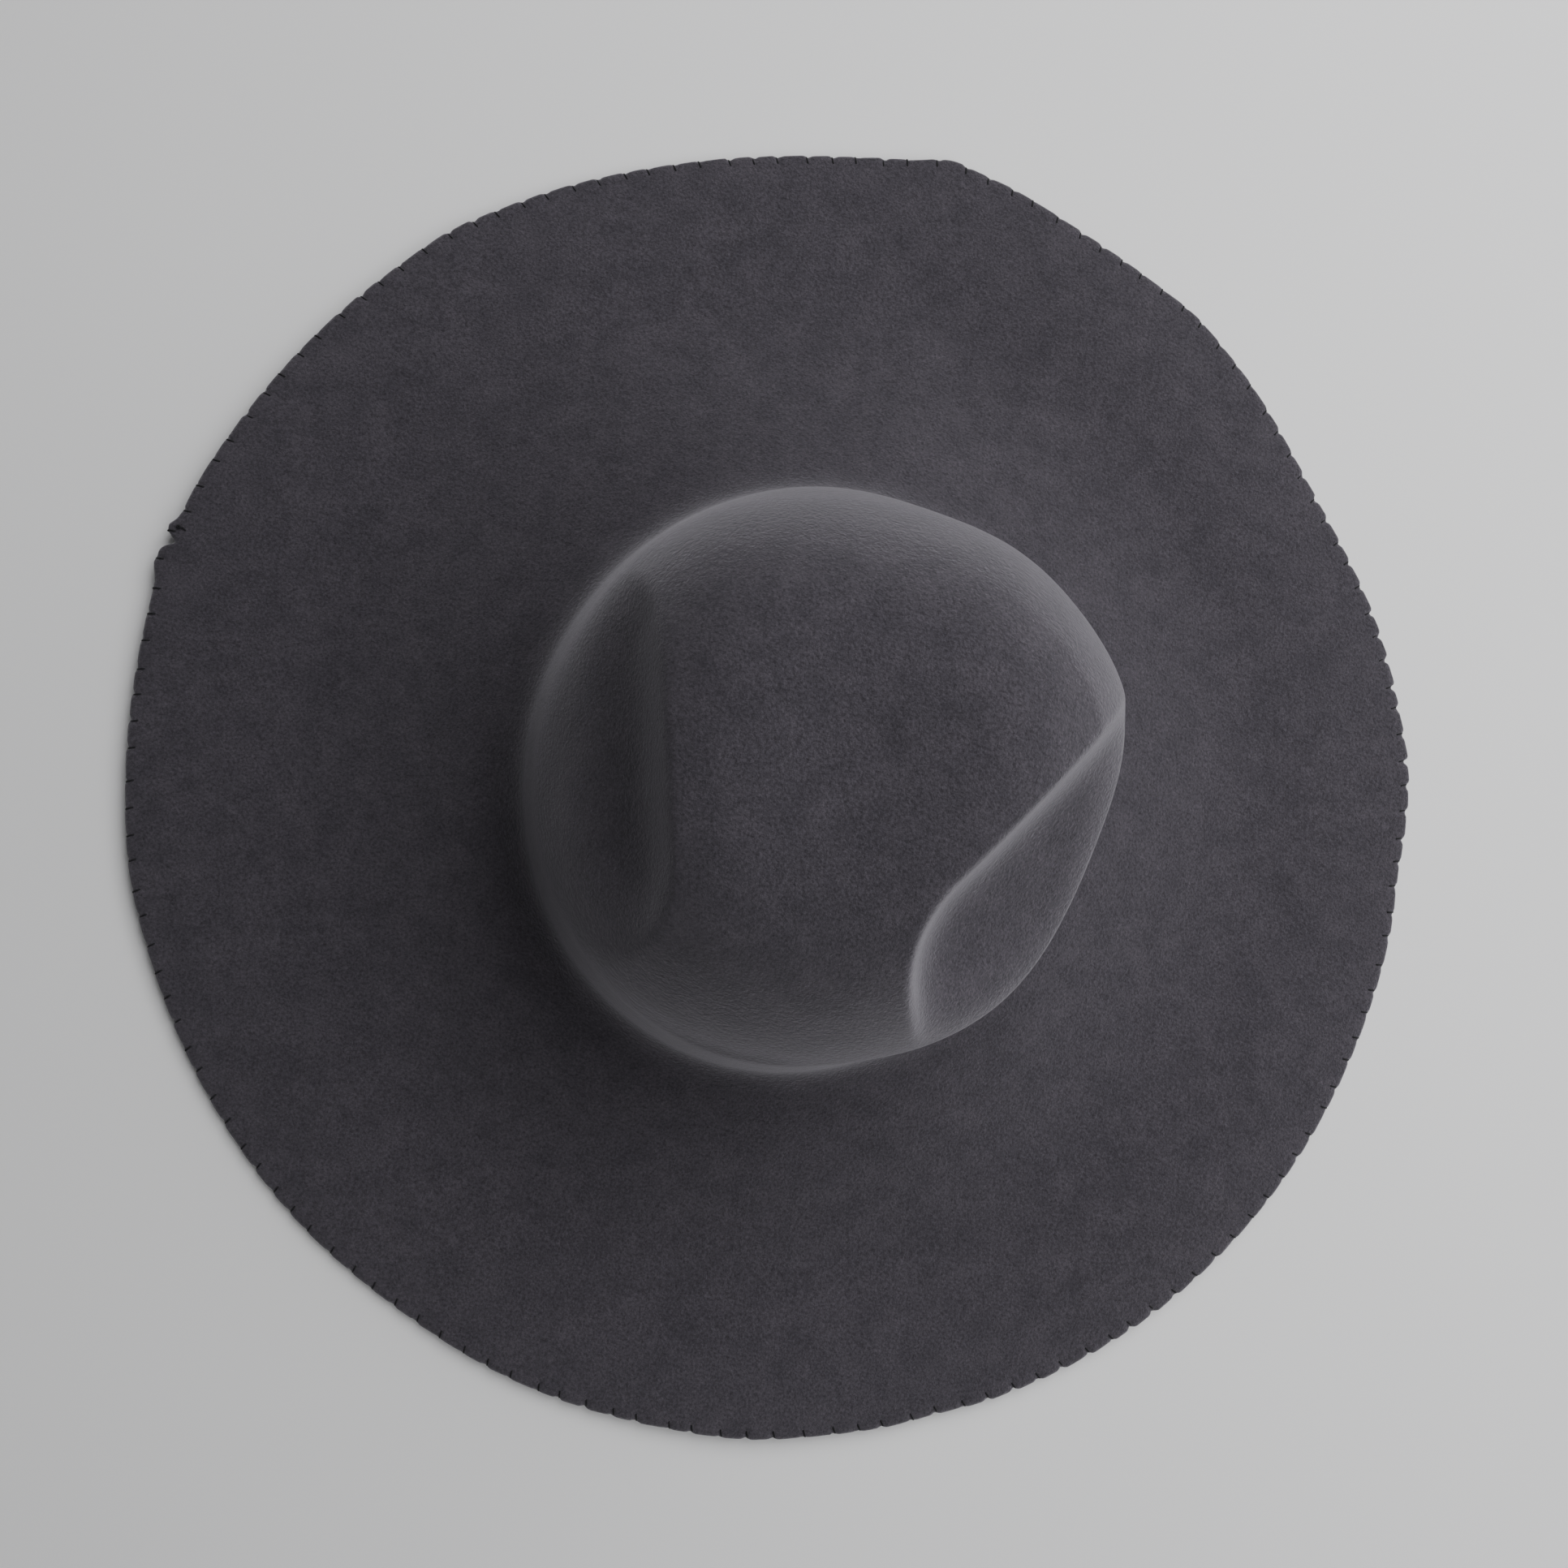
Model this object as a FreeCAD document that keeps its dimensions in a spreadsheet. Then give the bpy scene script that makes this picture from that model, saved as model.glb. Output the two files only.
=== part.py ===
import FreeCAD
import Part
import Sketcher
import math
import os

# Wide-brimmed wool-felt hat with a dented crown.
# Frame: the hat stands on its brim. +Z up, the front of the hat points to -Y and the wearer's right
# hand side is +X when the hat is looked at from above with its front down. Origin: on the surface
# the brim rests on, under the middle of the head opening.

SHEET = {
    # brim
    "felt_thick": 2.8,           # thickness of the blocked felt
    "brim_radius": 212.5,        # outer edge of the brim
    "brim_rise": 20.0,           # height of the brim's underside where it meets the crown
    "margin_width": 46.0,        # flat outer margin that the hat rests on
    "brim_curve": 1.7,           # how late the brim curls up towards the crown
    # crown
    "crown_half_length": 93.0,   # outside of the felt at the head line, front to back
    "crown_half_width": 85.5,    # outside of the felt at the head line, side to side
    "crown_rise": 103.0,         # top of the crown above the head line
    "crown_taper": 0.225,        # share of its size that the crown loses over its whole rise
    "straight_share": 0.35,      # share of the rise that is a plain cone, where the band sits
    "shoulder_power": 2.6,       # how square the crown's shoulder is
    "top_lean": 3.0,             # sideways lean of the crown's top, to +X
    "dish_depth": 9.0,           # hollow in the middle of the top
    "dish_half_width": 62.0,
    "dish_half_length": 66.0,
    "dish_floor": 0.42,          # share of the dish that is its level floor
    "front_fall": 0.2,           # slope by which the top drops towards the front
    "front_start": 20.0,         # where that slope starts, from the middle
    "front_run": 36.0,           # rounding of its start
    "break_reach": 9.0,          # size of the rounding between crown and brim
    "lip_above_band": 34.0,      # crown wall left between the band and the foot of a dent's wall
    "dent_run": 6.0,             # how far the wall of a dent takes to fall
    "ridge_softness": 6.0,       # rounding of the ridge above a dent
    "lip_softness": 24.0,        # rounding of the wall below a dent
    # thread along the brim's edge
    "stitch_count": 150,
    "stitch_inset": 2.6,         # from the edge to the middle of the needle holes
    "thread_wide": 0.55,
    "thread_clearance": 0.05,
    "knot_radius": 0.9,
    "knot_tail": 6.0,
    "knot_angle": 174.0,
    # head band
    "band_height": 24.0,
    "band_thick": 1.0,
    "band_lift": 4.0,            # lower edge of the band above the head line
    "seat_gap": 0.3,             # room between the felt and what lies against it
    "band_clear_run": 12.0,      # how far above the band the dents reach their full depth
    "reed_radius": 1.1,
    "band_stitch_count": 120,
    "band_stitch_length": 2.4,
    "band_stitch_lift": 2.6,     # stitch line above the band's lower edge
    "trim_gap": 0.1,             # room between the band and what is sewn on it
    # join tape, bow and tab at the back of the band
    "tape_width": 9.0,
    "tape_thick": 0.5,
    "bow_reach": 15.0,
    "bow_height": 8.0,
    "bow_thick": 1.6,
    "bow_lift": 13.0,            # middle of the bow above the band's lower edge
    "knot_width": 4.6,
    "knot_height": 6.4,
    "knot_thick": 2.6,
    "tack_length": 5.0,
    "tack_radius": 0.25,
    "tab_width": 20.0,
    "tab_height": 12.0,
    "tab_thick": 0.4,
    "tab_angle": 68.0,           # place of the tab round the band, from +X
    "tab_stitch_length": 2.0,
}

ROUND_POINTS = 60                # points on each closed line of the felt's skin
STITCH_RADIUS = 0.25             # half the width of a sewn stitch on the band

doc = FreeCAD.newDocument("felt_hat")
sheet = doc.addObject("Spreadsheet::Sheet", "sizes")
for row, (alias, value) in enumerate(SHEET.items(), start=1):
    sheet.set(f"A{row}", alias)
    sheet.set(f"B{row}", str(value))
    sheet.setAlias(f"B{row}", alias)
doc.recompute()


def size(alias):
    """The value that the sheet holds for one alias."""
    return float(getattr(sheet, alias))


def bind(thing, prop, expression):
    """Ties one property of an object to an expression in the sheet's aliases, written @alias."""
    thing.setExpression(prop, expression.replace("@", "sizes."))


# ---------------------------------------------------------------- the felt's shape

def soft_min(first, second, reach):
    """The lesser of two values, with the change between them rounded over a reach."""
    near = max(reach - abs(first - second), 0.0) / reach
    return min(first, second) - near * near * reach / 4.0


def soft_positive(value, reach):
    """The value where it is above zero and else zero, rounded over a reach."""
    return -soft_min(-value, 0.0, reach)


def smooth_step(value):
    value = min(max(value, 0.0), 1.0)
    return value * value * (3.0 - 2.0 * value)


class Dent:
    """A hollow pressed into one side of the crown, bounded in plan by straight lines whose corners
    are rounded. Each line is two points in the hat's frame; `inside` lies in the hollow."""

    def __init__(self, inside, lines, corner, fall):
        self.inside = inside
        self.lines = lines
        self.corner = corner
        self.fall = fall

    def depth_into(self, x, y):
        """How far a point lies inside the dent's boundary."""
        nearest = None
        for x1, y1, x2, y2 in self.lines:
            length = math.hypot(x2 - x1, y2 - y1)
            nx = (y2 - y1) / length
            ny = -(x2 - x1) / length
            if (self.inside[0] - x1) * nx + (self.inside[1] - y1) * ny < 0:
                nx = -nx
                ny = -ny
            distance = (x - x1) * nx + (y - y1) * ny
            nearest = distance if nearest is None else soft_min(nearest, distance, self.corner)
        return nearest

    def press(self, x, y, z):
        """The height of a point of the crown once the dent is pressed into it."""
        into = soft_positive(self.depth_into(x, y), size("ridge_softness"))
        lip = band_top() + size("lip_above_band") - self.fall * into
        left_over = math.exp(-into / size("dent_run"))
        above = z - lip
        below = soft_positive(-above, size("lip_softness"))
        return lip + left_over * above - (1.0 - left_over) * below


class Swell:
    """A place where the crown's shoulder swells out, or in when negative."""

    def __init__(self, angle, spread, amount):
        self.angle = math.radians(angle)
        self.spread = math.radians(spread)
        self.amount = amount

    def push(self, angle):
        away = (angle - self.angle + math.pi) % (2 * math.pi) - math.pi
        return self.amount * math.exp(-(away / self.spread) ** 2)


DENTS = [
    Dent((-65, -10), [(-56, 29, -31, -38), (-30, -56, -41, -72), (-48, 43, -63, 38)], 14.0, 0.48),
    Dent((75, -15), [(71, 33, 36, -30), (34, -46, 54, -70)], 26.0, 0.50),
]
SWELLS = [Swell(29, 24, 15.5), Swell(-25, 35, 11.0), Swell(145, 30, 4.0),
          Swell(-120, 26, 5.5), Swell(-80, 20, 0.5), Swell(92, 36, -5.5)]


def head_line():
    """Height of the felt's upper skin where crown and brim meet."""
    return size("brim_rise") + size("felt_thick")


def band_top():
    """Height of the head band's upper edge; the crown's wall stays plain up to it."""
    return head_line() + size("band_lift") + size("band_height")


def cone_share(height):
    """Size of the crown's cone at a height above the head line, as a share of the head line's."""
    return 1.0 - size("crown_taper") * height / size("crown_rise")


def crown_point(angle, across, share):
    """A point of the crown's outer skin, at a share of the rise and of the oval's size there."""
    oval = across * (1.0 - size("crown_taper") * share)
    x = size("crown_half_width") * oval * math.cos(angle)
    y = size("crown_half_length") * oval * math.sin(angle)
    z = head_line() + size("crown_rise") * share
    above_band = size("crown_rise") * (share - size("straight_share"))
    lift = smooth_step(above_band / (0.25 * size("crown_rise")))
    x += size("top_lean") * lift
    radius = math.hypot(x, y)
    if radius > 0.1:
        reach = min(radius / 60.0, 1.0) ** 2
        push = sum(swell.push(math.atan2(y, x)) for swell in SWELLS) * lift * reach
        x += push * x / radius
        y += push * y / radius
    in_dish = math.hypot((x - size("top_lean")) / size("dish_half_width"),
                         y / size("dish_half_length"))
    dish_wall = 1.0 - size("dish_floor")
    z -= size("dish_depth") * (1.0 - smooth_step((in_dish - size("dish_floor")) / dish_wall))
    z -= lift * size("front_fall") * soft_positive(-y - size("front_start"), size("front_run"))
    above_seat = z - band_top() - size("seat_gap") - size("felt_thick")
    clear_of_band = smooth_step(above_seat / size("band_clear_run"))
    for dent in DENTS:
        z += clear_of_band * (dent.press(x, y, z) - z)
    return FreeCAD.Vector(x, y, z)


def brim_point(angle, outward):
    """A point of the brim's upper skin: outward is 0 at the head line and 1 at the edge."""
    along_x = size("crown_half_width") * (1 - outward) + size("brim_radius") * outward
    along_y = size("crown_half_length") * (1 - outward) + size("brim_radius") * outward
    climb = max(1.0 - outward / flat_start(), 0.0) ** size("brim_curve")
    z = size("felt_thick") + size("brim_rise") * climb
    return FreeCAD.Vector(along_x * math.cos(angle), along_y * math.sin(angle), z)


def flat_start():
    """Where the brim becomes flat, as a share of the way from the head line to the edge."""
    width = size("brim_radius") - size("crown_half_length")
    return 1.0 - size("margin_width") / width


def break_point(angle, share):
    """A point of the rounding between the brim and the crown, from 0 on the brim to 1."""
    width = size("brim_radius") - size("crown_half_length")
    start = brim_point(angle, size("break_reach") / width)
    corner = brim_point(angle, 0.0)
    end = crown_point(angle, 1.0, size("break_reach") / size("crown_rise"))
    return start * (1 - share) ** 2 + corner * (2 * share * (1 - share)) + end * share ** 2


def skin_makers():
    """One maker of points per closed line of the upper skin, from the flat margin to the dish's
    level floor, whose last line is flat."""
    width = size("brim_radius") - size("crown_half_length")
    start = size("break_reach") / width
    makers = []
    for step in (0, 0.15, 1, 2, 3, 4, 5, 6, 7):
        outward = flat_start() + (start - flat_start()) * step / 8.0
        makers.append(lambda angle, outward=outward: brim_point(angle, outward))
    for step in range(5):
        makers.append(lambda angle, share=step / 4.0: break_point(angle, share))
    wall_start = size("break_reach") / size("crown_rise")
    for step in range(1, 5):
        share = wall_start + (size("straight_share") - wall_start) * step / 4.0
        makers.append(lambda angle, share=share: crown_point(angle, 1.0, share))
    power = 2.0 / size("shoulder_power")
    shoulder = 1.0 - size("straight_share")
    for step in range(1, 15):
        turn = math.radians(90.0) * step / 16.0
        across = math.cos(turn) ** power
        share = size("straight_share") + shoulder * math.sin(turn) ** power
        makers.append(lambda angle, across=across, share=share: crown_point(angle, across, share))
    return makers


def angles():
    return [2 * math.pi * step / ROUND_POINTS for step in range(ROUND_POINTS)]


def inner_row(outer, before, after, thick):
    """A row of the lower skin: the upper row moved through the felt, square to the skin."""
    row = []
    for place in range(ROUND_POINTS):
        around = outer[(place + 1) % ROUND_POINTS] - outer[place - 1]
        upward = after[place] - before[place]
        normal = around.cross(upward)
        normal.normalize()
        row.append(outer[place] - normal * thick)
    return row


def level(row):
    """The same row at one height, so that it can be closed with a flat face."""
    height = sum(point.z for point in row) / len(row)
    return [FreeCAD.Vector(point.x, point.y, height) for point in row]


def closed_line(row):
    """A closed smooth line whose points are evenly spaced in its parameter, so that the skin
    through many such lines needs no more points than they have."""
    curve = Part.BSplineCurve()
    steps = [place / len(row) for place in range(len(row) + 1)]
    curve.interpolate(Points=row, PeriodicFlag=True, Parameters=steps)
    return Part.Wire([curve.toShape()])


def skin_with_ends(rows):
    """The smooth skin through closed rows, with its lowest and its highest closed edge."""
    skin = Part.makeLoft([closed_line(row) for row in rows], False, False)
    flat = [edge for edge in skin.Edges if edge.isClosed() and edge.BoundBox.ZLength < 0.01]
    flat.sort(key=lambda edge: edge.BoundBox.ZMin)
    return skin, flat[0], flat[-1]


def margin_faces(slots, holes):
    """The flat margin and the cut edge of the brim, with the thread's grooves in them: a slotted
    disc whose two flat faces are opened as far as the skin's closed edge at the same height."""
    disc = Part.makeCylinder(size("brim_radius"), size("felt_thick")).cut(slots)
    faces = []
    for face in disc.Faces:
        hole = holes.get(round(face.CenterOfMass.z, 2))
        if face.BoundBox.ZLength < 0.01 and face.BoundBox.XLength > size("brim_radius") and hole:
            wires = list(face.Wires) + [Part.Wire([hole])]
            face = Part.makeFace(wires, "Part::FaceMakerBullseye")
        faces.append(face)
    return faces


def felt_shape(slots):
    """The hood, sewn from its upper skin, its lower skin, the flat margin and the cut edge."""
    thick = size("felt_thick")
    outer = [[make(angle) for angle in angles()] for make in skin_makers()]
    inner = [[FreeCAD.Vector(point.x, point.y, 0) for point in outer[0]]]
    for place in range(1, len(outer) - 1):
        inner.append(inner_row(outer[place], outer[place - 1], outer[place + 1], thick))
    outer[-1] = level(outer[-1])
    inner[-1] = level(inner[-1])
    upper, upper_foot, upper_top = skin_with_ends(outer)
    lower, lower_foot, lower_top = skin_with_ends(inner)
    faces = upper.Faces + lower.Faces
    faces += margin_faces(slots, {round(thick, 2): upper_foot, 0.0: lower_foot})
    faces.append(Part.Face(Part.Wire([upper_top])))
    faces.append(Part.Face(Part.Wire([lower_top])))
    shell = Part.makeShell(faces)
    shell.sewShape()
    return Part.makeSolid(shell)


# ---------------------------------------------------------------- helpers for drawn pieces

def origin_plane(body, role):
    for feature in body.Origin.OriginFeatures:
        if feature.Role == role:
            return feature
    raise ValueError(role)


def new_body(name):
    body = doc.addObject("PartDesign::Body", name)
    body.AllowCompound = True
    return body


def new_sketch(body, name, role="XZ_Plane"):
    sketch = body.newObject("Sketcher::SketchObject", name)
    sketch.AttachmentSupport = [(origin_plane(body, role), "")]
    sketch.MapMode = "FlatFace"
    return sketch


def add_rectangle(sketch, name, left, right, low, high):
    """A rectangle whose four sides lie at given distances from the sketch's origin."""
    first = sketch.GeometryCount
    corners = [(200, 1), (203, 1), (203, 2), (200, 2)]
    points = [FreeCAD.Vector(x, y, 0) for x, y in corners]
    for place in range(4):
        sketch.addGeometry(Part.LineSegment(points[place], points[(place + 1) % 4]), False)
    for place in range(4):
        following = first + (place + 1) % 4
        sketch.addConstraint(Sketcher.Constraint("Coincident", first + place, 2, following, 1))
    for place, kind in enumerate(["Horizontal", "Vertical", "Horizontal", "Vertical"]):
        sketch.addConstraint(Sketcher.Constraint(kind, first + place))
    sides = [("DistanceX", "left", left, 0, 200), ("DistanceX", "right", right, 2, 203),
             ("DistanceY", "low", low, 0, 1), ("DistanceY", "high", high, 2, 2)]
    for kind, side, expression, line, value in sides:
        made = Sketcher.Constraint(kind, -1, 1, first + line, 1, value)
        place = sketch.addConstraint(made)
        sketch.renameConstraint(place, f"{name}_{side}")
        bind(sketch, f"Constraints.{name}_{side}", expression)


def edge_ring(name, outer, inner, width):
    """A body of one frame in the plane of the brim's radius, repeated once per stitch."""
    body = new_body(name)
    sketch = new_sketch(body, f"{name}_frame")
    add_rectangle(sketch, "outside", *outer)
    add_rectangle(sketch, "inside", *inner)
    pad = body.newObject("PartDesign::Pad", f"{name}_wrap")
    pad.Profile = sketch
    pad.Midplane = True
    bind(pad, "Length", width)
    doc.recompute()
    pattern = body.newObject("PartDesign::PolarPattern", f"{name}_round")
    pattern.Originals = [pad]
    pattern.Axis = (origin_plane(body, "Z_Axis"), [""])
    pattern.Angle = 360
    bind(pattern, "Occurrences", "@stitch_count")
    body.Tip = pattern
    return body


def ellipse(name, half_length, half_width, height):
    """An oval whose long way lies along Y, at a height; all three are expressions."""
    oval = doc.addObject("Part::Ellipse", name)
    bind(oval, "MajorRadius", half_length)
    bind(oval, "MinorRadius", half_width)
    oval.Placement.Rotation = FreeCAD.Rotation(FreeCAD.Vector(0, 0, 1), 90)
    bind(oval, "Placement.Base.z", height)
    return oval


def oval_cone(name, gap):
    """A solid oval cone that follows the crown's inner wall at a gap, as tall as the band."""
    foot = "@brim_rise + @felt_thick + @band_lift"
    ends = []
    for end, rise in (("foot", "@band_lift"), ("head", "(@band_lift + @band_height)")):
        share = f"(1 - @crown_taper * {rise} / @crown_rise)"
        height = foot if end == "foot" else f"{foot} + @band_height"
        length = f"@crown_half_length * {share} - @felt_thick - {gap}"
        width = f"@crown_half_width * {share} - @felt_thick - {gap}"
        ends.append(ellipse(f"{name}_{end}", length, width, height))
    loft = doc.addObject("Part::Loft", name)
    loft.Sections = ends
    loft.Solid = True
    loft.Ruled = True
    return loft


def band_seat(angle, lift, off):
    """A place on the band's inner face: a turn that carries +X along the band, +Y into the
    crown's wall and +Z up along the leaning wall, and the point at a distance off the face."""
    rise = size("band_lift") + lift
    share = cone_share(rise)
    inset = size("felt_thick") + size("seat_gap") + size("band_thick")
    half_width = size("crown_half_width") * share - inset
    half_length = size("crown_half_length") * share - inset
    turn = math.radians(angle)
    face = FreeCAD.Vector(half_width * math.cos(turn), half_length * math.sin(turn),
                          head_line() + rise)
    outward = FreeCAD.Vector(math.cos(turn) / half_width, math.sin(turn) / half_length, 0)
    outward.normalize()
    radius = math.hypot(size("crown_half_width") * math.cos(turn),
                        size("crown_half_length") * math.sin(turn))
    lean = radius * size("crown_taper") / size("crown_rise")
    upward = FreeCAD.Vector(-outward.x * lean, -outward.y * lean, 1)
    upward.normalize()
    along = outward.cross(upward)
    into = upward.cross(along)
    rotation = FreeCAD.Rotation(along, into, upward, "ZXY")
    return FreeCAD.Placement(face - into * off, rotation)


def named(thing, label):
    thing.Label = label
    return thing


def box(name, width, thick, height):
    """A block centred on its own frame in X and Z, with its back face on Y = 0."""
    block = doc.addObject("Part::Box", name)
    bind(block, "Length", width)
    bind(block, "Width", thick)
    bind(block, "Height", height)
    return block


# ---------------------------------------------------------------- the pieces

def make_hood():
    """The felt, with a groove and a needle hole for each wrap of the edge's thread."""
    wrap = "@thread_wide + @thread_clearance"
    slots = edge_ring(
        "thread_slots",
        ("@brim_radius - @stitch_inset - @thread_wide / 2 - @thread_clearance",
         "@brim_radius + 1", "-1", "@felt_thick + 1"),
        (f"@brim_radius - @stitch_inset - @thread_wide / 2 + {wrap}",
         f"@brim_radius - @thread_clearance - ({wrap})",
         f"@thread_clearance + {wrap}",
         f"@felt_thick - @thread_clearance - ({wrap})"),
        "@thread_wide + 2 * @thread_clearance")
    doc.recompute()
    hood = doc.addObject("Part::Feature", "felt_whole")
    hood.Shape = felt_shape(slots.Shape)
    return named(hood, "felt_hood")


def make_edge_thread():
    wraps = edge_ring(
        "edge_wraps",
        ("@brim_radius - @stitch_inset - @thread_wide / 2", "@brim_radius - @thread_clearance",
         "@thread_clearance", "@felt_thick - @thread_clearance"),
        ("@brim_radius - @stitch_inset + @thread_wide / 2",
         "@brim_radius - @thread_clearance - @thread_wide",
         "@thread_clearance + @thread_wide",
         "@felt_thick - @thread_clearance - @thread_wide"),
        "@thread_wide")
    return named(wraps, "edge_whipstitch")


def make_edge_knot():
    """The tied end of the edge thread: a knot on the brim and a short cut tail."""
    ball = doc.addObject("Part::Sphere", "knot_ball")
    bind(ball, "Radius", "@knot_radius")
    tail = doc.addObject("Part::Cylinder", "knot_tail_end")
    bind(tail, "Radius", "@thread_wide / 2")
    bind(tail, "Height", "@knot_tail")
    tail.Placement.Rotation = FreeCAD.Rotation(FreeCAD.Vector(0, 1, 0), -90)
    bind(tail, "Placement.Base.z", "@thread_wide / 2 - @knot_radius")
    knot = doc.addObject("Part::MultiFuse", "knot_whole")
    knot.Shapes = [ball, tail]
    angle = math.radians(size("knot_angle") + 180.0 / size("stitch_count"))
    reach = size("brim_radius") - 2.5 * size("stitch_inset")
    height = size("felt_thick") + size("knot_radius") + size("thread_clearance")
    place = FreeCAD.Vector(reach * math.cos(angle), reach * math.sin(angle), height)
    turn = FreeCAD.Rotation(FreeCAD.Vector(0, 0, 1), math.degrees(angle) + 35)
    knot.Placement = FreeCAD.Placement(place, turn)
    return named(knot, "edge_thread_knot")


def make_band():
    band = doc.addObject("Part::Cut", "band_ring")
    band.Base = oval_cone("band_outside", "@seat_gap")
    band.Tool = oval_cone("band_inside", "@seat_gap - @band_thick")
    return named(band, "sweatband")


def make_reed():
    """The cord rolled into the band's lower edge."""
    share = "(1 - @crown_taper * @band_lift / @crown_rise)"
    inset = "@felt_thick - @seat_gap - @band_thick / 2"
    height = "@brim_rise + @felt_thick + @band_lift - @reed_radius - @trim_gap"
    path = ellipse("reed_path", f"@crown_half_length * {share} - {inset}",
                   f"@crown_half_width * {share} - {inset}", height)
    section = doc.addObject("Part::Circle", "reed_section")
    bind(section, "Radius", "@reed_radius")
    section.Placement.Rotation = FreeCAD.Rotation(FreeCAD.Vector(1, 0, 0), 90)
    bind(section, "Placement.Base.x", f"@crown_half_width * {share} - {inset}")
    bind(section, "Placement.Base.z", height)
    reed = doc.addObject("Part::Sweep", "reed_sweep")
    reed.Sections = [section]
    reed.Spine = (path, ["Edge1"])
    reed.Solid = True
    reed.Frenet = True
    return named(reed, "sweatband_reed")


def stitch(length, radius):
    """One stitch lying along X, its middle at the origin."""
    return Part.makeCylinder(radius, length, FreeCAD.Vector(-length / 2, 0, 0),
                             FreeCAD.Vector(1, 0, 0))


def stitches(name, places, length, radius):
    """A group of equal stitches, one per place."""
    group = []
    for place in places:
        one = stitch(length, radius)
        one.Placement = place.multiply(one.Placement)
        group.append(one)
    feature = doc.addObject("Part::Feature", f"{name}_group")
    feature.Shape = Part.Compound(group)
    return named(feature, name)


def make_band_stitches():
    count = int(size("band_stitch_count"))
    off = STITCH_RADIUS + size("trim_gap")
    clear = math.degrees(0.75 * size("tape_width") / size("crown_half_length"))
    places = []
    for step in range(count):
        angle = 360.0 * (step + 0.5) / count
        if abs(angle - 90) > clear:
            places.append(band_seat(angle, size("band_stitch_lift"), off))
    return stitches("sweatband_stitches", places, size("band_stitch_length"), STITCH_RADIUS)


def make_join_tape():
    """The strip over the butted ends of the band, at the back."""
    tape = box("join_strip", "@tape_width", "@tape_thick", "@band_height")
    off = size("trim_gap") + size("tape_thick") + hollow_of(size("tape_width"))
    seat = band_seat(90, 0, off)
    shift = FreeCAD.Placement(FreeCAD.Vector(-size("tape_width") / 2, 0, 0), FreeCAD.Rotation())
    tape.Placement = seat.multiply(shift)
    return named(tape, "band_join_tape")


def hollow_of(width):
    """How far the band's inner face curves away behind a flat piece of a given width."""
    inset = size("felt_thick") + size("seat_gap") + size("band_thick")
    share = cone_share(size("band_lift") + size("band_height"))
    half_width = size("crown_half_width") * share - inset
    half_length = size("crown_half_length") * share - inset
    radius = half_width ** 2 / half_length
    return radius - math.sqrt(radius ** 2 - (width / 2) ** 2)


def tape_face():
    """Distance from the band to the join tape's free face."""
    return size("trim_gap") + size("tape_thick") + hollow_of(size("tape_width"))


def make_bow():
    """Two flat loops of ribbon, one to each side of the knot."""
    loops = []
    for side, name in ((1, "right"), (-1, "left")):
        loop = doc.addObject("Part::Wedge", f"bow_loop_{name}")
        values = {"Xmin": "0", "Xmax": "@bow_reach - @knot_width / 2 - @trim_gap",
                  "Ymin": "0", "Ymax": "@bow_thick",
                  "Zmin": "-@knot_height / 2", "Zmax": "@knot_height / 2",
                  "X2min": "0", "X2max": "@bow_reach - @knot_width / 2 - @trim_gap",
                  "Z2min": "-@bow_height / 2", "Z2max": "@bow_height / 2"}
        for prop, expression in values.items():
            bind(loop, prop, expression)
        behind = max(tape_face(), size("trim_gap") + hollow_of(2 * size("bow_reach")))
        off = behind + size("trim_gap") + size("bow_thick")
        seat = band_seat(90, size("bow_lift"), off)
        start = size("knot_width") / 2 + size("trim_gap")
        turn = FreeCAD.Rotation(FreeCAD.Vector(0, 0, 1), 0 if side > 0 else 180)
        lift = 0 if side > 0 else size("bow_thick")
        shift = FreeCAD.Placement(FreeCAD.Vector(side * start, lift, 0), turn)
        loop.Placement = seat.multiply(shift)
        loops.append(loop)
    bow = doc.addObject("Part::Compound", "bow_pair")
    bow.Links = loops
    return named(bow, "rear_bow_loops")


def make_bow_knot():
    knot = box("bow_middle", "@knot_width", "@knot_thick", "@knot_height")
    off = tape_face() + size("trim_gap") + size("knot_thick")
    seat = band_seat(90, size("bow_lift"), off)
    middle = FreeCAD.Vector(-size("knot_width") / 2, 0, -size("knot_height") / 2)
    knot.Placement = seat.multiply(FreeCAD.Placement(middle, FreeCAD.Rotation()))
    return named(knot, "rear_bow_knot")


def make_bow_tack():
    """Two short stitches over the knot that hold the bow down."""
    off = tape_face() + 2 * size("trim_gap") + size("knot_thick") + size("tack_radius")
    places = []
    for lift in (-1, 1):
        places.append(band_seat(90, size("bow_lift") + lift * size("knot_height") / 5, off))
    return stitches("rear_bow_tack", places, size("tack_length"), size("tack_radius"))


def tab_seat(side, lift, extra):
    """A place on the free face of the tab, a distance along it and up it."""
    off = size("trim_gap") + size("tab_thick") + hollow_of(size("tab_width")) + extra
    seat = band_seat(size("tab_angle"), size("band_height") / 2, off)
    return seat.multiply(FreeCAD.Placement(FreeCAD.Vector(side, 0, lift), FreeCAD.Rotation()))


def make_tab():
    tab = box("tab_sheet", "@tab_width", "@tab_thick", "@tab_height")
    tab.Placement = tab_seat(-size("tab_width") / 2, -size("tab_height") / 2, 0)
    return named(tab, "size_tab")


def make_tab_stitches():
    places = []
    off = size("trim_gap") + STITCH_RADIUS
    for side in (-1, 1):
        across = side * (size("tab_width") / 2 - size("tab_stitch_length"))
        up = size("tab_height") / 2 - size("tab_stitch_length")
        places.append(tab_seat(across, up, off))
        places.append(tab_seat(across, -up, off))
    return stitches("size_tab_stitches", places, size("tab_stitch_length"), STITCH_RADIUS)


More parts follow.
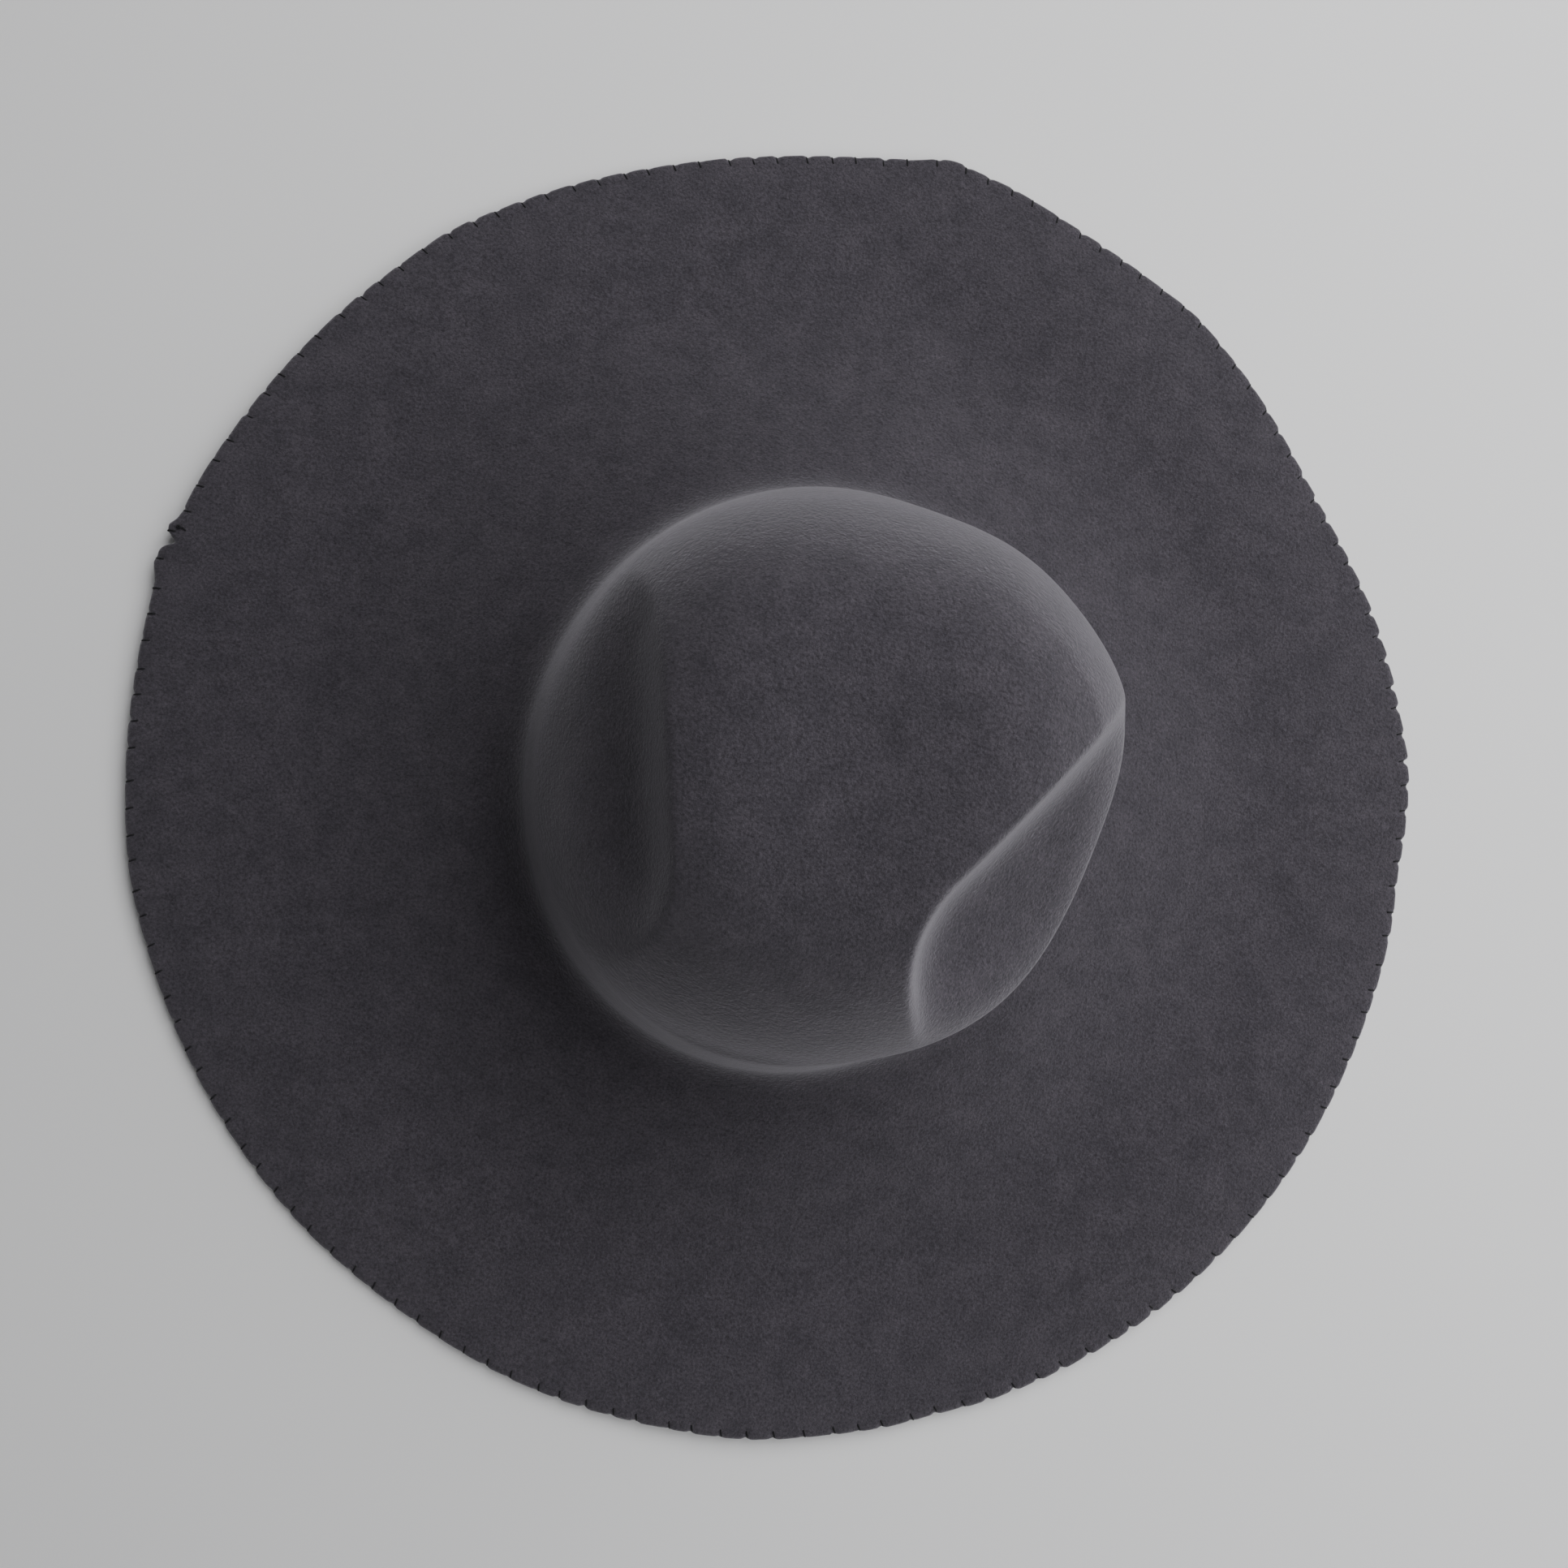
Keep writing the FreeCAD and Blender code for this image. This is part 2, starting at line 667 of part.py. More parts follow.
MAKERS = [make_hood, make_edge_thread, make_edge_knot, make_band, make_reed, make_band_stitches,
          make_join_tape, make_bow, make_bow_knot, make_bow_tack, make_tab, make_tab_stitches]

pieces = [make() for make in MAKERS]
doc.recompute()

for thing in doc.Objects:
    for state in thing.State:
        if state in ("Invalid", "Error"):
            raise RuntimeError(f"{thing.Name} is {state}")
for piece in pieces:
    if piece.Shape.isNull() or not piece.Shape.isValid() or not piece.Shape.Solids:
        raise RuntimeError(f"{piece.Label} has no valid solid")

os.makedirs("parts", exist_ok=True)
for piece in pieces:
    piece.Shape.exportStep(f"parts/{piece.Label}.step")
    print(piece.Label, len(piece.Shape.Solids), "solids", round(piece.Shape.Volume, 1), "mm3")
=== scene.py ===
"""Wide-brimmed felt hat with a dented crown: looks, light and camera.

Frame: metres, +Z up, the hat stands on its brim, its front points to -Y.
"""
from __future__ import annotations

import logging
import math
from dataclasses import dataclass, field, replace
from enum import Enum
from typing import Callable

import bmesh
import bpy
from mathutils import Matrix, Vector, noise

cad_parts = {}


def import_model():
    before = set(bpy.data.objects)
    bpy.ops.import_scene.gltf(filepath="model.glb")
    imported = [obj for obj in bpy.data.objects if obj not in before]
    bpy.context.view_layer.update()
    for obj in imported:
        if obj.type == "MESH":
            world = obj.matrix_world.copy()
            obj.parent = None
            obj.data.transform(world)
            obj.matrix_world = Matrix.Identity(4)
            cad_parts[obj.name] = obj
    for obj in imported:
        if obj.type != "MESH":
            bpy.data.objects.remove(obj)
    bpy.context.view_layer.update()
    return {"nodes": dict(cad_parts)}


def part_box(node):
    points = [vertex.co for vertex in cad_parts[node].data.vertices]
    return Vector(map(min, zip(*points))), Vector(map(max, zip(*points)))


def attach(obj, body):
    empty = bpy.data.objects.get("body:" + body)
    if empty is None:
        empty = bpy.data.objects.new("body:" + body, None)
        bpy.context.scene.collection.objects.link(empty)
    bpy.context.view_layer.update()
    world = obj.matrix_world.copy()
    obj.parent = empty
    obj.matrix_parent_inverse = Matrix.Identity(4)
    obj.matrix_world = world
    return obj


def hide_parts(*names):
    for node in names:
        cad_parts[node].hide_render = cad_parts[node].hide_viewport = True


LOG = logging.getLogger("felt_hat")
MM = 0.001
FULL_TURN = 2.0 * math.pi


# ------------------------------------------------------------------ small formulas

def soft_min(first: float, second: float, reach: float) -> float:
    """The lesser of two values, with the change between them rounded.

    Args:
        first: One value.
        second: The other value.
        reach: How far apart the values still round each other.

    Returns:
        The rounded lesser value.
    """
    near = max(reach - abs(first - second), 0.0) / reach
    return min(first, second) - near * near * reach / 4.0


def soft_positive(value: float, reach: float) -> float:
    """The value where it is above zero, else zero, rounded over a reach."""
    return -soft_min(-value, 0.0, reach)


def smooth_step(value: float) -> float:
    """An even ease from 0 to 1 while the value goes from 0 to 1."""
    value = min(max(value, 0.0), 1.0)
    return value * value * (3.0 - 2.0 * value)


def stations(start: float, end: float, count: int) -> list[float]:
    """Even steps from one value to another, without the first."""
    return [start + (end - start) * step / count for step in range(1, count + 1)]


def turn_between(angle: float, middle: float) -> float:
    """The signed turn from one angle to another, between minus and plus half a turn."""
    return (angle - middle + math.pi) % FULL_TURN - math.pi


# ------------------------------------------------------------------ the felt's shape

@dataclass(frozen=True)
class Swell:
    """A soft rise or fall of some size round one direction.

    Attributes:
        angle: Its direction in degrees.
        spread: How wide it is, in degrees.
        amount: Its height, negative for a fall.
    """

    angle: float
    spread: float
    amount: float

    def at(self, angle: float) -> float:
        """The rise in one direction, given in radians."""
        away = turn_between(angle, math.radians(self.angle)) / math.radians(self.spread)
        return self.amount * math.exp(-away * away)


@dataclass(frozen=True)
class BrimWave:
    """A gentle wave of the brim: a rise round one direction and one distance from the middle."""

    swell: Swell
    radius: float
    width: float

    def at(self, angle: float, radius: float) -> float:
        """The rise at a direction in radians and a distance from the middle."""
        away = (radius - self.radius) / self.width
        return self.swell.at(angle) * math.exp(-away * away)


@dataclass(frozen=True)
class DentSide:
    """One straight side of a dent, in plan.

    Attributes:
        start: One point of the side.
        end: Another point of it.
        ease: Share of full steepness with which the dent starts at this side.
    """

    start: tuple[float, float]
    end: tuple[float, float]
    ease: float = 1.0

    def distance(self, x: float, y: float, inside: tuple[float, float]) -> float:
        """How far a point lies from the side, positive towards the dent's inside."""
        along_x, along_y = self.end[0] - self.start[0], self.end[1] - self.start[1]
        length = math.hypot(along_x, along_y)
        across_x, across_y = along_y / length, -along_x / length
        towards = (inside[0] - self.start[0]) * across_x + (inside[1] - self.start[1]) * across_y
        away = (x - self.start[0]) * across_x + (y - self.start[1]) * across_y
        return self.ease * math.copysign(away, away * towards)


@dataclass(frozen=True)
class Dent:
    """A hollow pressed into one side of the crown, bounded in plan by straight sides.

    Attributes:
        inside: A point in the hollow.
        sides: Its sides.
        corner: Rounding of the corners between the sides.
        fall: Slope of the hollow's floor.
        run: How far the hollow's wall takes to fall.
        edge: Rounding of the ridge above the hollow.
        lip: Height of the crown's wall below the hollow.
        lip_round: Rounding of that wall's upper edge.
    """

    inside: tuple[float, float]
    sides: tuple[DentSide, ...]
    corner: float
    fall: float
    run: float
    edge: float
    lip: float
    lip_round: float

    def depth_into(self, x: float, y: float) -> float:
        """How far a point lies inside the hollow's boundary."""
        nearest = self.sides[0].distance(x, y, self.inside)
        for side in self.sides[1:]:
            nearest = soft_min(nearest, side.distance(x, y, self.inside), self.corner)
        return soft_positive(nearest, self.edge)

    def press(self, x: float, y: float, z: float) -> float:
        """The height of a point of the crown once the hollow is pressed in."""
        into = self.depth_into(x, y)
        if into <= 0.0:
            return z
        lip = self.lip - self.fall * into
        left_over = math.exp(-into / self.run)
        above = z - lip
        below = soft_positive(-above, self.lip_round)
        return lip + left_over * above - (1.0 - left_over) * below


@dataclass
class FeltForm:
    """The blocked felt's upper skin, as a formula of a place on its profile and a direction.

    Attributes:
        thick: The felt's thickness.
        brim_radius: Distance of the brim's edge from the middle.
        brim_rise: How far the brim climbs from the floor to the head line.
        margin_width: Width of the brim's flat outer part.
        brim_curve: How fast the brim's climb steepens towards the head line.
        half_length: Half of the head line's oval, front to back.
        half_width: Half of the head line's oval, side to side.
        rise: Height of the crown above the head line.
        taper: Share by which the cone narrows over the crown's rise.
        straight: Share of the rise where the shoulder starts.
        shoulder_power: Squareness of the shoulder, 2 for a round one.
        top_lean: How far the top stands to one side.
        dish_depth: Depth of the dish pressed into the top.
        dish_half_width: Half of the dish, side to side.
        dish_half_length: Half of the dish, front to back.
        dish_floor: Share of the dish that is flat.
        front_fall: Slope of the top towards the front.
        front_start: How far in front of the middle that slope starts.
        front_run: Rounding of its start.
        break_reach: Size of the rounding between crown and brim.
        band_top: Height below which the wall keeps clear of the inner band.
        band_clear_run: How far above that height dents reach full depth.
        lift_start: Share of the rise where swells and lean start.
        lift_run: Share of the rise over which they grow.
        swell_radius: Distance from the middle where swells reach full size.
        crown_uneven: Size of the crown's small hand-made waves.
        crown_uneven_scale: How many of them there are in a metre.
        brim_wave_start: Share of the brim's width over which its waves grow.
        brim_uneven: Size of the brim's small waves.
        brim_uneven_scale: How many of them there are in a metre.
        swells: Soft bulges of the crown.
        outline: Rises and falls of the brim's outline.
        waves: Waves of the brim.
        dents: Hollows of the crown.
        flat_start: Share of the brim's width where it turns flat.
        brim_width: Width of the brim along the head's longer axis.
    """

    thick: float = 2.8 * MM
    brim_radius: float = 211.3 * MM
    brim_rise: float = 20.0 * MM
    margin_width: float = 46.0 * MM
    brim_curve: float = 1.7
    half_length: float = 93.0 * MM
    half_width: float = 85.5 * MM
    rise: float = 103.0 * MM
    taper: float = 0.225
    straight: float = 0.35
    shoulder_power: float = 2.6
    top_lean: float = 3.0 * MM
    dish_depth: float = 9.0 * MM
    dish_half_width: float = 62.0 * MM
    dish_half_length: float = 66.0 * MM
    dish_floor: float = 0.05
    front_fall: float = 0.20
    front_start: float = 20.0 * MM
    front_run: float = 36.0 * MM
    break_reach: float = 9.0 * MM
    band_top: float = 50.8 * MM
    band_clear_run: float = 12.0 * MM
    lift_start: float = 0.29
    lift_run: float = 0.27
    swell_radius: float = 60.0 * MM
    crown_uneven: float = 0.9 * MM
    crown_uneven_scale: float = 22.0
    brim_wave_start: float = 0.35
    brim_uneven: float = 0.7 * MM
    brim_uneven_scale: float = 16.0
    swells: tuple[Swell, ...] = (
        Swell(29, 25, 12.5 * MM), Swell(-25, 35, 8.5 * MM), Swell(145, 30, 4.5 * MM),
        Swell(-120, 26, 5.0 * MM), Swell(62, 18, 4.0 * MM), Swell(98, 30, -1.5 * MM),
    )
    outline: tuple[Swell, ...] = (
        Swell(46, 13, -5.6 * MM), Swell(90, 9, 5.2 * MM), Swell(92.5, 2.2, 1.8 * MM),
        Swell(117, 13, -1.8 * MM), Swell(174, 9, 1.6 * MM), Swell(230, 30, -1.4 * MM),
        Swell(322, 22, 1.6 * MM), Swell(18, 5, 1.6 * MM), Swell(251, 9, -1.0 * MM),
        Swell(174.9, 0.7, 2.2 * MM), Swell(176.0, 0.45, -2.6 * MM), Swell(177.8, 1.5, 2.4 * MM),
        Swell(139, 4, 0.9 * MM), Swell(66, 3, 0.8 * MM), Swell(205, 6, 0.8 * MM),
        Swell(283, 5, 0.8 * MM), Swell(300, 3, -0.7 * MM), Swell(8, 3, -0.8 * MM),
    )
    waves: tuple[BrimWave, ...] = (
        BrimWave(Swell(62, 26, 4.0 * MM), 0.185, 0.040),
        BrimWave(Swell(100, 20, -2.0 * MM), 0.160, 0.030),
        BrimWave(Swell(-30, 28, 3.0 * MM), 0.190, 0.036),
        BrimWave(Swell(-75, 24, 2.4 * MM), 0.200, 0.040),
        BrimWave(Swell(175, 34, 3.0 * MM), 0.205, 0.040),
        BrimWave(Swell(-140, 26, 1.6 * MM), 0.170, 0.036),
    )
    dents: tuple[Dent, ...] = (
        Dent((-0.065, -0.010),
             (DentSide((-0.0565, 0.029), (-0.0315, -0.038)),
              DentSide((-0.030, -0.056), (-0.041, -0.072), 0.7),
              DentSide((-0.048, 0.043), (-0.063, 0.0385), 0.7)),
             corner=12.0 * MM, fall=0.52, run=4.0 * MM, edge=1.6 * MM,
             lip=92.0 * MM, lip_round=26.0 * MM),
        Dent((0.075, -0.015),
             (DentSide((0.071, 0.033), (0.0355, -0.030)),
              DentSide((0.034, -0.046), (0.054, -0.070))),
             corner=24.0 * MM, fall=0.50, run=3.0 * MM, edge=2.0 * MM,
             lip=84.0 * MM, lip_round=24.0 * MM),
    )
    flat_start: float = field(init=False)
    brim_width: float = field(init=False)

    def __post_init__(self) -> None:
        """Works out the brim's width and where it turns flat."""
        self.brim_width = self.brim_radius - self.half_length
        self.flat_start = 1.0 - self.margin_width / self.brim_width

    @property
    def head_line(self) -> float:
        """Height of the upper skin where crown and brim meet."""
        return self.brim_rise + self.thick

    def crown(self, angle: float, across: float, share: float) -> Vector:
        """A point of the crown.

        Args:
            angle: Direction round the crown, in radians.
            across: Size of the oval there, as a share of the cone's.
            share: Height, as a share of the crown's rise.

        Returns:
            The point, in metres.
        """
        oval = across * (1.0 - self.taper * share)
        x = self.half_width * oval * math.cos(angle)
        y = self.half_length * oval * math.sin(angle)
        z = self.head_line + self.rise * share
        lift = smooth_step((share - self.lift_start) / self.lift_run)
        x += self.top_lean * lift
        radius = math.hypot(x, y)
        if radius > 1e-5 and lift > 0.0:
            reach = min(radius / self.swell_radius, 1.0) ** 2
            push = sum(swell.at(math.atan2(y, x)) for swell in self.swells) * lift * reach
            x += push * x / radius
            y += push * y / radius
        in_dish = math.hypot((x - self.top_lean) / self.dish_half_width, y / self.dish_half_length)
        hollow = smooth_step((in_dish - self.dish_floor) / (1.0 - self.dish_floor))
        z -= self.dish_depth * (1.0 - hollow)
        z -= lift * self.front_fall * soft_positive(-y - self.front_start, self.front_run)
        clear = smooth_step((z - self.band_top) / self.band_clear_run)
        if clear > 0.0:
            pressed = z
            for dent in self.dents:
                pressed = dent.press(x, y, pressed)
            spot = Vector((x, y, z)) * self.crown_uneven_scale + Vector((0.0, 0.0, 5.0))
            z += clear * (pressed - z + self.crown_uneven * noise.noise(spot))
        return Vector((x, y, z))

    def edge_radius(self, angle: float) -> float:
        """Distance of the brim's edge from the middle, in one direction."""
        return self.brim_radius + sum(swell.at(angle) for swell in self.outline)

    def brim(self, angle: float, outward: float) -> Vector:
        """A point of the brim: outward is 0 at the head line and 1 at the edge."""
        edge = self.edge_radius(angle)
        x = (self.half_width * (1.0 - outward) + edge * outward) * math.cos(angle)
        y = (self.half_length * (1.0 - outward) + edge * outward) * math.sin(angle)
        climb = max(1.0 - outward / self.flat_start, 0.0) ** self.brim_curve
        radius = math.hypot(x, y)
        fade = smooth_step(outward / self.brim_wave_start)
        spot = Vector((x * self.brim_uneven_scale, y * self.brim_uneven_scale, 1.5))
        lifted = sum(wave.at(angle, radius) for wave in self.waves)
        lifted += self.brim_uneven * (1.0 + noise.noise(spot))
        return Vector((x, y, self.thick + self.brim_rise * climb + fade * max(lifted, 0.0)))

    def break_line(self, angle: float, share: float) -> Vector:
        """A point of the rounding between crown and brim, from 0 on the crown to 1."""
        start = self.crown(angle, 1.0, self.break_reach / self.rise)
        corner = self.brim(angle, 0.0)
        end = self.brim(angle, self.break_reach / self.brim_width)
        return start * (1 - share) ** 2 + corner * (2 * share * (1 - share)) + end * share ** 2

    def skin(self, place: float, angle: float) -> Vector:
        """A point of the whole upper skin.

        Args:
            place: 0 at the middle of the top, 1 at the shoulder's foot, 2 at the head line's
                rounding, 3 at its end on the brim and 4 at the edge.
            angle: Direction, in radians.

        Returns:
            The point, in metres.
        """
        wall_start = self.break_reach / self.rise
        if place < 1.0:
            turn = math.radians(90.0) * (1.0 - place)
            power = 2.0 / self.shoulder_power
            share = self.straight + (1.0 - self.straight) * math.sin(turn) ** power
            return self.crown(angle, math.cos(turn) ** power, share)
        if place < 2.0:
            share = self.straight + (wall_start - self.straight) * (place - 1.0)
            return self.crown(angle, 1.0, share)
        if place < 3.0:
            return self.break_line(angle, place - 2.0)
        start = self.break_reach / self.brim_width
        return self.brim(angle, start + (1.0 - start) * (place - 3.0))

    def normal(self, place: float, angle: float) -> Vector:
        """The skin's outward direction at a place."""
        step = 0.004
        around = self.skin(place, angle + step) - self.skin(place, angle - step)
        low = max(place - step, 1e-4)
        down = self.skin(min(place + step, 4.0), angle) - self.skin(low, angle)
        return down.cross(around).normalized()


@dataclass
class EdgeStitching:
    """Where the wraps of thread lie round the brim's edge, and how they pinch the felt.

    Attributes:
        count: Number of wraps.
        inset: Distance of their holes from the edge.
        pinch_reach: How far along the edge one wrap pinches the felt.
        notch: How far one wrap pulls the edge in.
        lobe_lean: How far the edge between two wraps stands out at one end.
        squeeze: Share of the felt's thickness that one wrap takes away.
        most_pinch: Largest pinch that still squeezes the felt further.
        depth: How far in from the edge the felt is pinched.
        stray: How far a wrap strays from even spacing, as a share of the spacing.
        even_pull: How hard a wrap is pulled where nothing is uneven.
        pull_uneven: How much the pull varies from wrap to wrap.
        least_pull: The loosest pull.
        tight: Where the edge was sewn tighter.
    """

    count: int = 150
    inset: float = 2.6 * MM
    pinch_reach: float = 1.05 * MM
    notch: float = 0.62 * MM
    lobe_lean: float = 0.30 * MM
    squeeze: float = 0.30
    most_pinch: float = 1.6
    depth: float = 3.6 * MM
    stray: float = 0.22
    even_pull: float = 0.8
    pull_uneven: float = 0.9
    least_pull: float = 0.2
    tight: tuple[Swell, ...] = (
        Swell(28, math.degrees(0.30), 1.1), Swell(-42, math.degrees(0.22), 0.8),
    )

    def wobble(self, index: int) -> float:
        """How far one hand-sewn wrap strays from even spacing, as a share of the spacing."""
        return self.stray * noise.noise(Vector((index * 0.83, 3.1, 0.4)))

    def angle(self, index: int) -> float:
        """The direction of one wrap, in radians."""
        return FULL_TURN * (index + self.wobble(index % self.count)) / self.count

    def pull(self, index: int) -> float:
        """How hard one wrap was pulled tight; the right of the brim was sewn tightest."""
        angle = self.angle(index)
        tighter = sum(swell.at(angle) for swell in self.tight)
        uneven = noise.noise(Vector((index * 1.7, 8.2, 2.2)))
        return max(self.even_pull + self.pull_uneven * uneven + tighter, self.least_pull)

    def pinch(self, angle: float, radius: float) -> float:
        """How much the felt is pinched at a direction, by the wraps on both sides of it."""
        middle = round(angle / FULL_TURN * self.count)
        total = 0.0
        for index in (middle - 1, middle, middle + 1):
            away = turn_between(angle, self.angle(index)) * radius / self.pinch_reach
            total += self.pull(index % self.count) * math.exp(-away * away)
        return total

    def lobe(self, angle: float) -> float:
        """How far the edge stands out between two wraps: each lobe leans a little one way."""
        place = angle / FULL_TURN * self.count
        index = math.floor(place)
        share = place - index
        return self.lobe_lean * (0.5 - share) * self.pull(index % self.count)


# ------------------------------------------------------------------ finishes

class Blend(Enum):
    """How one colour is laid over another."""

    MULTIPLY = "MULTIPLY"
    SCREEN = "SCREEN"


class NodeChain:
    """A small helper that adds shader nodes and links them."""

    def __init__(self, name: str) -> None:
        """Starts an empty material of a given name with its surface shader."""
        self.material = bpy.data.materials.new(name)
        self.material.use_nodes = True
        self.tree = self.material.node_tree
        self.shader = self.tree.nodes["Principled BSDF"]
        coordinates = self.tree.nodes.new("ShaderNodeTexCoord")
        self.place = coordinates.outputs["Object"]

    def link(self, output: bpy.types.NodeSocket, socket: bpy.types.NodeSocket) -> None:
        """Links one output to one input."""
        self.tree.links.new(output, socket)

    def noise(self, scale: float, detail: float = 4.0, rough: float = 0.55,
              stretch: tuple[float, float, float] | None = None) -> bpy.types.NodeSocket:
        """Adds a noise texture on the object's own coordinates.

        Args:
            scale: Features per metre.
            detail: Layers of finer noise.
            rough: Strength of the finer layers.
            stretch: Scale along each axis, or None for an even noise.

        Returns:
            The noise's value output.
        """
        source = self.place
        if stretch is not None:
            mapping = self.tree.nodes.new("ShaderNodeMapping")
            mapping.inputs["Scale"].default_value = stretch
            mapping.inputs["Rotation"].default_value = (0.3, 0.2, 0.6)
            self.link(self.place, mapping.inputs["Vector"])
            source = mapping.outputs["Vector"]
        texture = self.tree.nodes.new("ShaderNodeTexNoise")
        texture.inputs["Scale"].default_value = scale
        texture.inputs["Detail"].default_value = detail
        texture.inputs["Roughness"].default_value = rough
        self.link(source, texture.inputs["Vector"])
        return texture.outputs["Fac"]

    def ramp(self, value: bpy.types.NodeSocket,
             stops: list[tuple[float, tuple[float, float, float]]]) -> bpy.types.NodeSocket:
        """Maps a value to colours.

        Args:
            value: The value's output.
            stops: Positions and linear colours.

        Returns:
            The ramp's colour output.
        """
        node = self.tree.nodes.new("ShaderNodeValToRGB")
        node.color_ramp.elements[0].position = stops[0][0]
        node.color_ramp.elements[0].color = (*stops[0][1], 1.0)
        node.color_ramp.elements[1].position = stops[-1][0]
        node.color_ramp.elements[1].color = (*stops[-1][1], 1.0)
        for position, colour in stops[1:-1]:
            element = node.color_ramp.elements.new(position)
            element.color = (*colour, 1.0)
        self.link(value, node.inputs["Fac"])
        return node.outputs["Color"]

    def blend(self, first: bpy.types.NodeSocket, second: bpy.types.NodeSocket,
              way: Blend = Blend.MULTIPLY) -> bpy.types.NodeSocket:
        """Lays one colour fully over another.

        Args:
            first: The colour below.
            second: The colour laid over it.
            way: Whether it darkens the first or adds light without burning out.

        Returns:
            The blended colour output.
        """
        node = self.tree.nodes.new("ShaderNodeMix")
        node.data_type = "RGBA"
        node.blend_type = way.value
        node.inputs["Factor"].default_value = 1.0
        self.link(first, node.inputs["A"])
        self.link(second, node.inputs["B"])
        return node.outputs["Result"]

    def bump(self, height: bpy.types.NodeSocket, strength: float, distance: float,
             below: bpy.types.NodeSocket | None = None) -> bpy.types.NodeSocket:
        """Adds a bump from a height, over another bump if one is given."""
        node = self.tree.nodes.new("ShaderNodeBump")
        node.inputs["Strength"].default_value = strength
        node.inputs["Distance"].default_value = distance
        self.link(height, node.inputs["Height"])
        if below is not None:
            self.link(below, node.inputs["Normal"])
        return node.outputs["Normal"]

    def finish(self, colour: bpy.types.NodeSocket, normal: bpy.types.NodeSocket,
               rough: float, specular: float) -> bpy.types.Material:
        """Joins colour and bump to the shader and returns the material."""
        self.link(colour, self.shader.inputs["Base Color"])
        self.link(normal, self.shader.inputs["Normal"])
        self.shader.inputs["Roughness"].default_value = rough
        self.shader.inputs["Specular IOR Level"].default_value = specular
        return self.material


def grey(value: float) -> tuple[float, float, float]:
    """A neutral colour of one brightness."""
    return (value, value, value)


@dataclass(frozen=True)
class FeltFinish:
    """Brushed wool felt: dark warm grey, mottled, with a nap and a few pale hairs."""

    name: str = "brushed_felt"
    dark: tuple[float, float, float] = (0.044, 0.040, 0.049)
    light: tuple[float, float, float] = (0.059, 0.053, 0.064)
    sheen: float = 0.55
    sheen_rough: float = 0.5
    sheen_tint: tuple[float, float, float, float] = (0.80, 0.78, 0.84, 1.0)
    mottle_scale: float = 110.0
    nap_scale: float = 1150.0
    fibre_scale: float = 260.0
    cross_scale: float = 240.0
    coarse_scale: float = 700.0
    fine_scale: float = 1500.0

    def build(self) -> bpy.types.Material:
        """Makes the material."""
        chain = NodeChain(self.name)
        cloud = chain.noise(self.mottle_scale, 6.0, 0.62)
        mottle = chain.ramp(cloud, [(0.34, self.dark), (0.66, self.light)])
        tufts = chain.noise(self.nap_scale, 5.0, 0.8)
        nap = chain.ramp(tufts, [(0.32, grey(0.42)), (0.68, grey(1.58))])
        fibre = chain.noise(self.fibre_scale, 3.0, 0.6, (9.0, 1.0, 1.0))
        other = chain.noise(self.cross_scale, 3.0, 0.6, (1.0, 8.0, 1.0))
        hair = chain.ramp(fibre, [(0.74, grey(0.0)), (0.80, grey(0.05))])
        cross = chain.ramp(other, [(0.745, grey(0.0)), (0.80, grey(0.04))])
        colour = chain.blend(mottle, nap)
        colour = chain.blend(colour, hair, Blend.SCREEN)
        colour = chain.blend(colour, cross, Blend.SCREEN)
        coarse = chain.bump(chain.noise(self.coarse_scale, 3.0, 0.6), 0.6, 0.6 * MM)
        normal = chain.bump(chain.noise(self.fine_scale, 3.0, 0.7), 0.8, 0.3 * MM, coarse)
        chain.shader.inputs["Sheen Weight"].default_value = self.sheen
        chain.shader.inputs["Sheen Roughness"].default_value = self.sheen_rough
        chain.shader.inputs["Sheen Tint"].default_value = self.sheen_tint
        return chain.finish(colour, normal, 0.95, 0.12)


@dataclass(frozen=True)
class ThreadFinish:
    """Twisted thread: small slanted strands."""

    name: str
    colour: tuple[float, float, float]
    gloss: float = 0.35

    def build(self) -> bpy.types.Material:
        """Makes the material."""
        chain = NodeChain(self.name)
        strands = chain.noise(1900.0, 2.0, 0.5, (1.0, 1.0, 3.0))
        pale = tuple(min(part * 2.2, 1.0) for part in self.colour)
        colour = chain.ramp(strands, [(0.35, self.colour), (0.70, pale)])
        normal = chain.bump(strands, 0.7, 0.2 * MM)
        return chain.finish(colour, normal, 0.75, self.gloss)


@dataclass(frozen=True)
class LeatherFinish:
    """Thin dyed leather with a pebbled grain, a little rubbed in random patches."""

    name: str
    colour: tuple[float, float, float]
    rubbed: tuple[float, float, float]
    pebbles: float = 900.0

    def build(self) -> bpy.types.Material:
        """Makes the material."""
        chain = NodeChain(self.name)
        cells = chain.tree.nodes.new("ShaderNodeTexVoronoi")
        cells.feature = "DISTANCE_TO_EDGE"
        cells.inputs["Scale"].default_value = self.pebbles
        chain.link(chain.place, cells.inputs["Vector"])
        cloud = chain.noise(60.0, 4.0, 0.6)
        colour = chain.ramp(cloud, [(0.35, self.colour), (0.72, self.rubbed)])
        creases = chain.bump(cells.outputs["Distance"], 0.5, 0.3 * MM)
        normal = chain.bump(cloud, 0.3, 0.6 * MM, creases)
        return chain.finish(colour, normal, 0.48, 0.45)


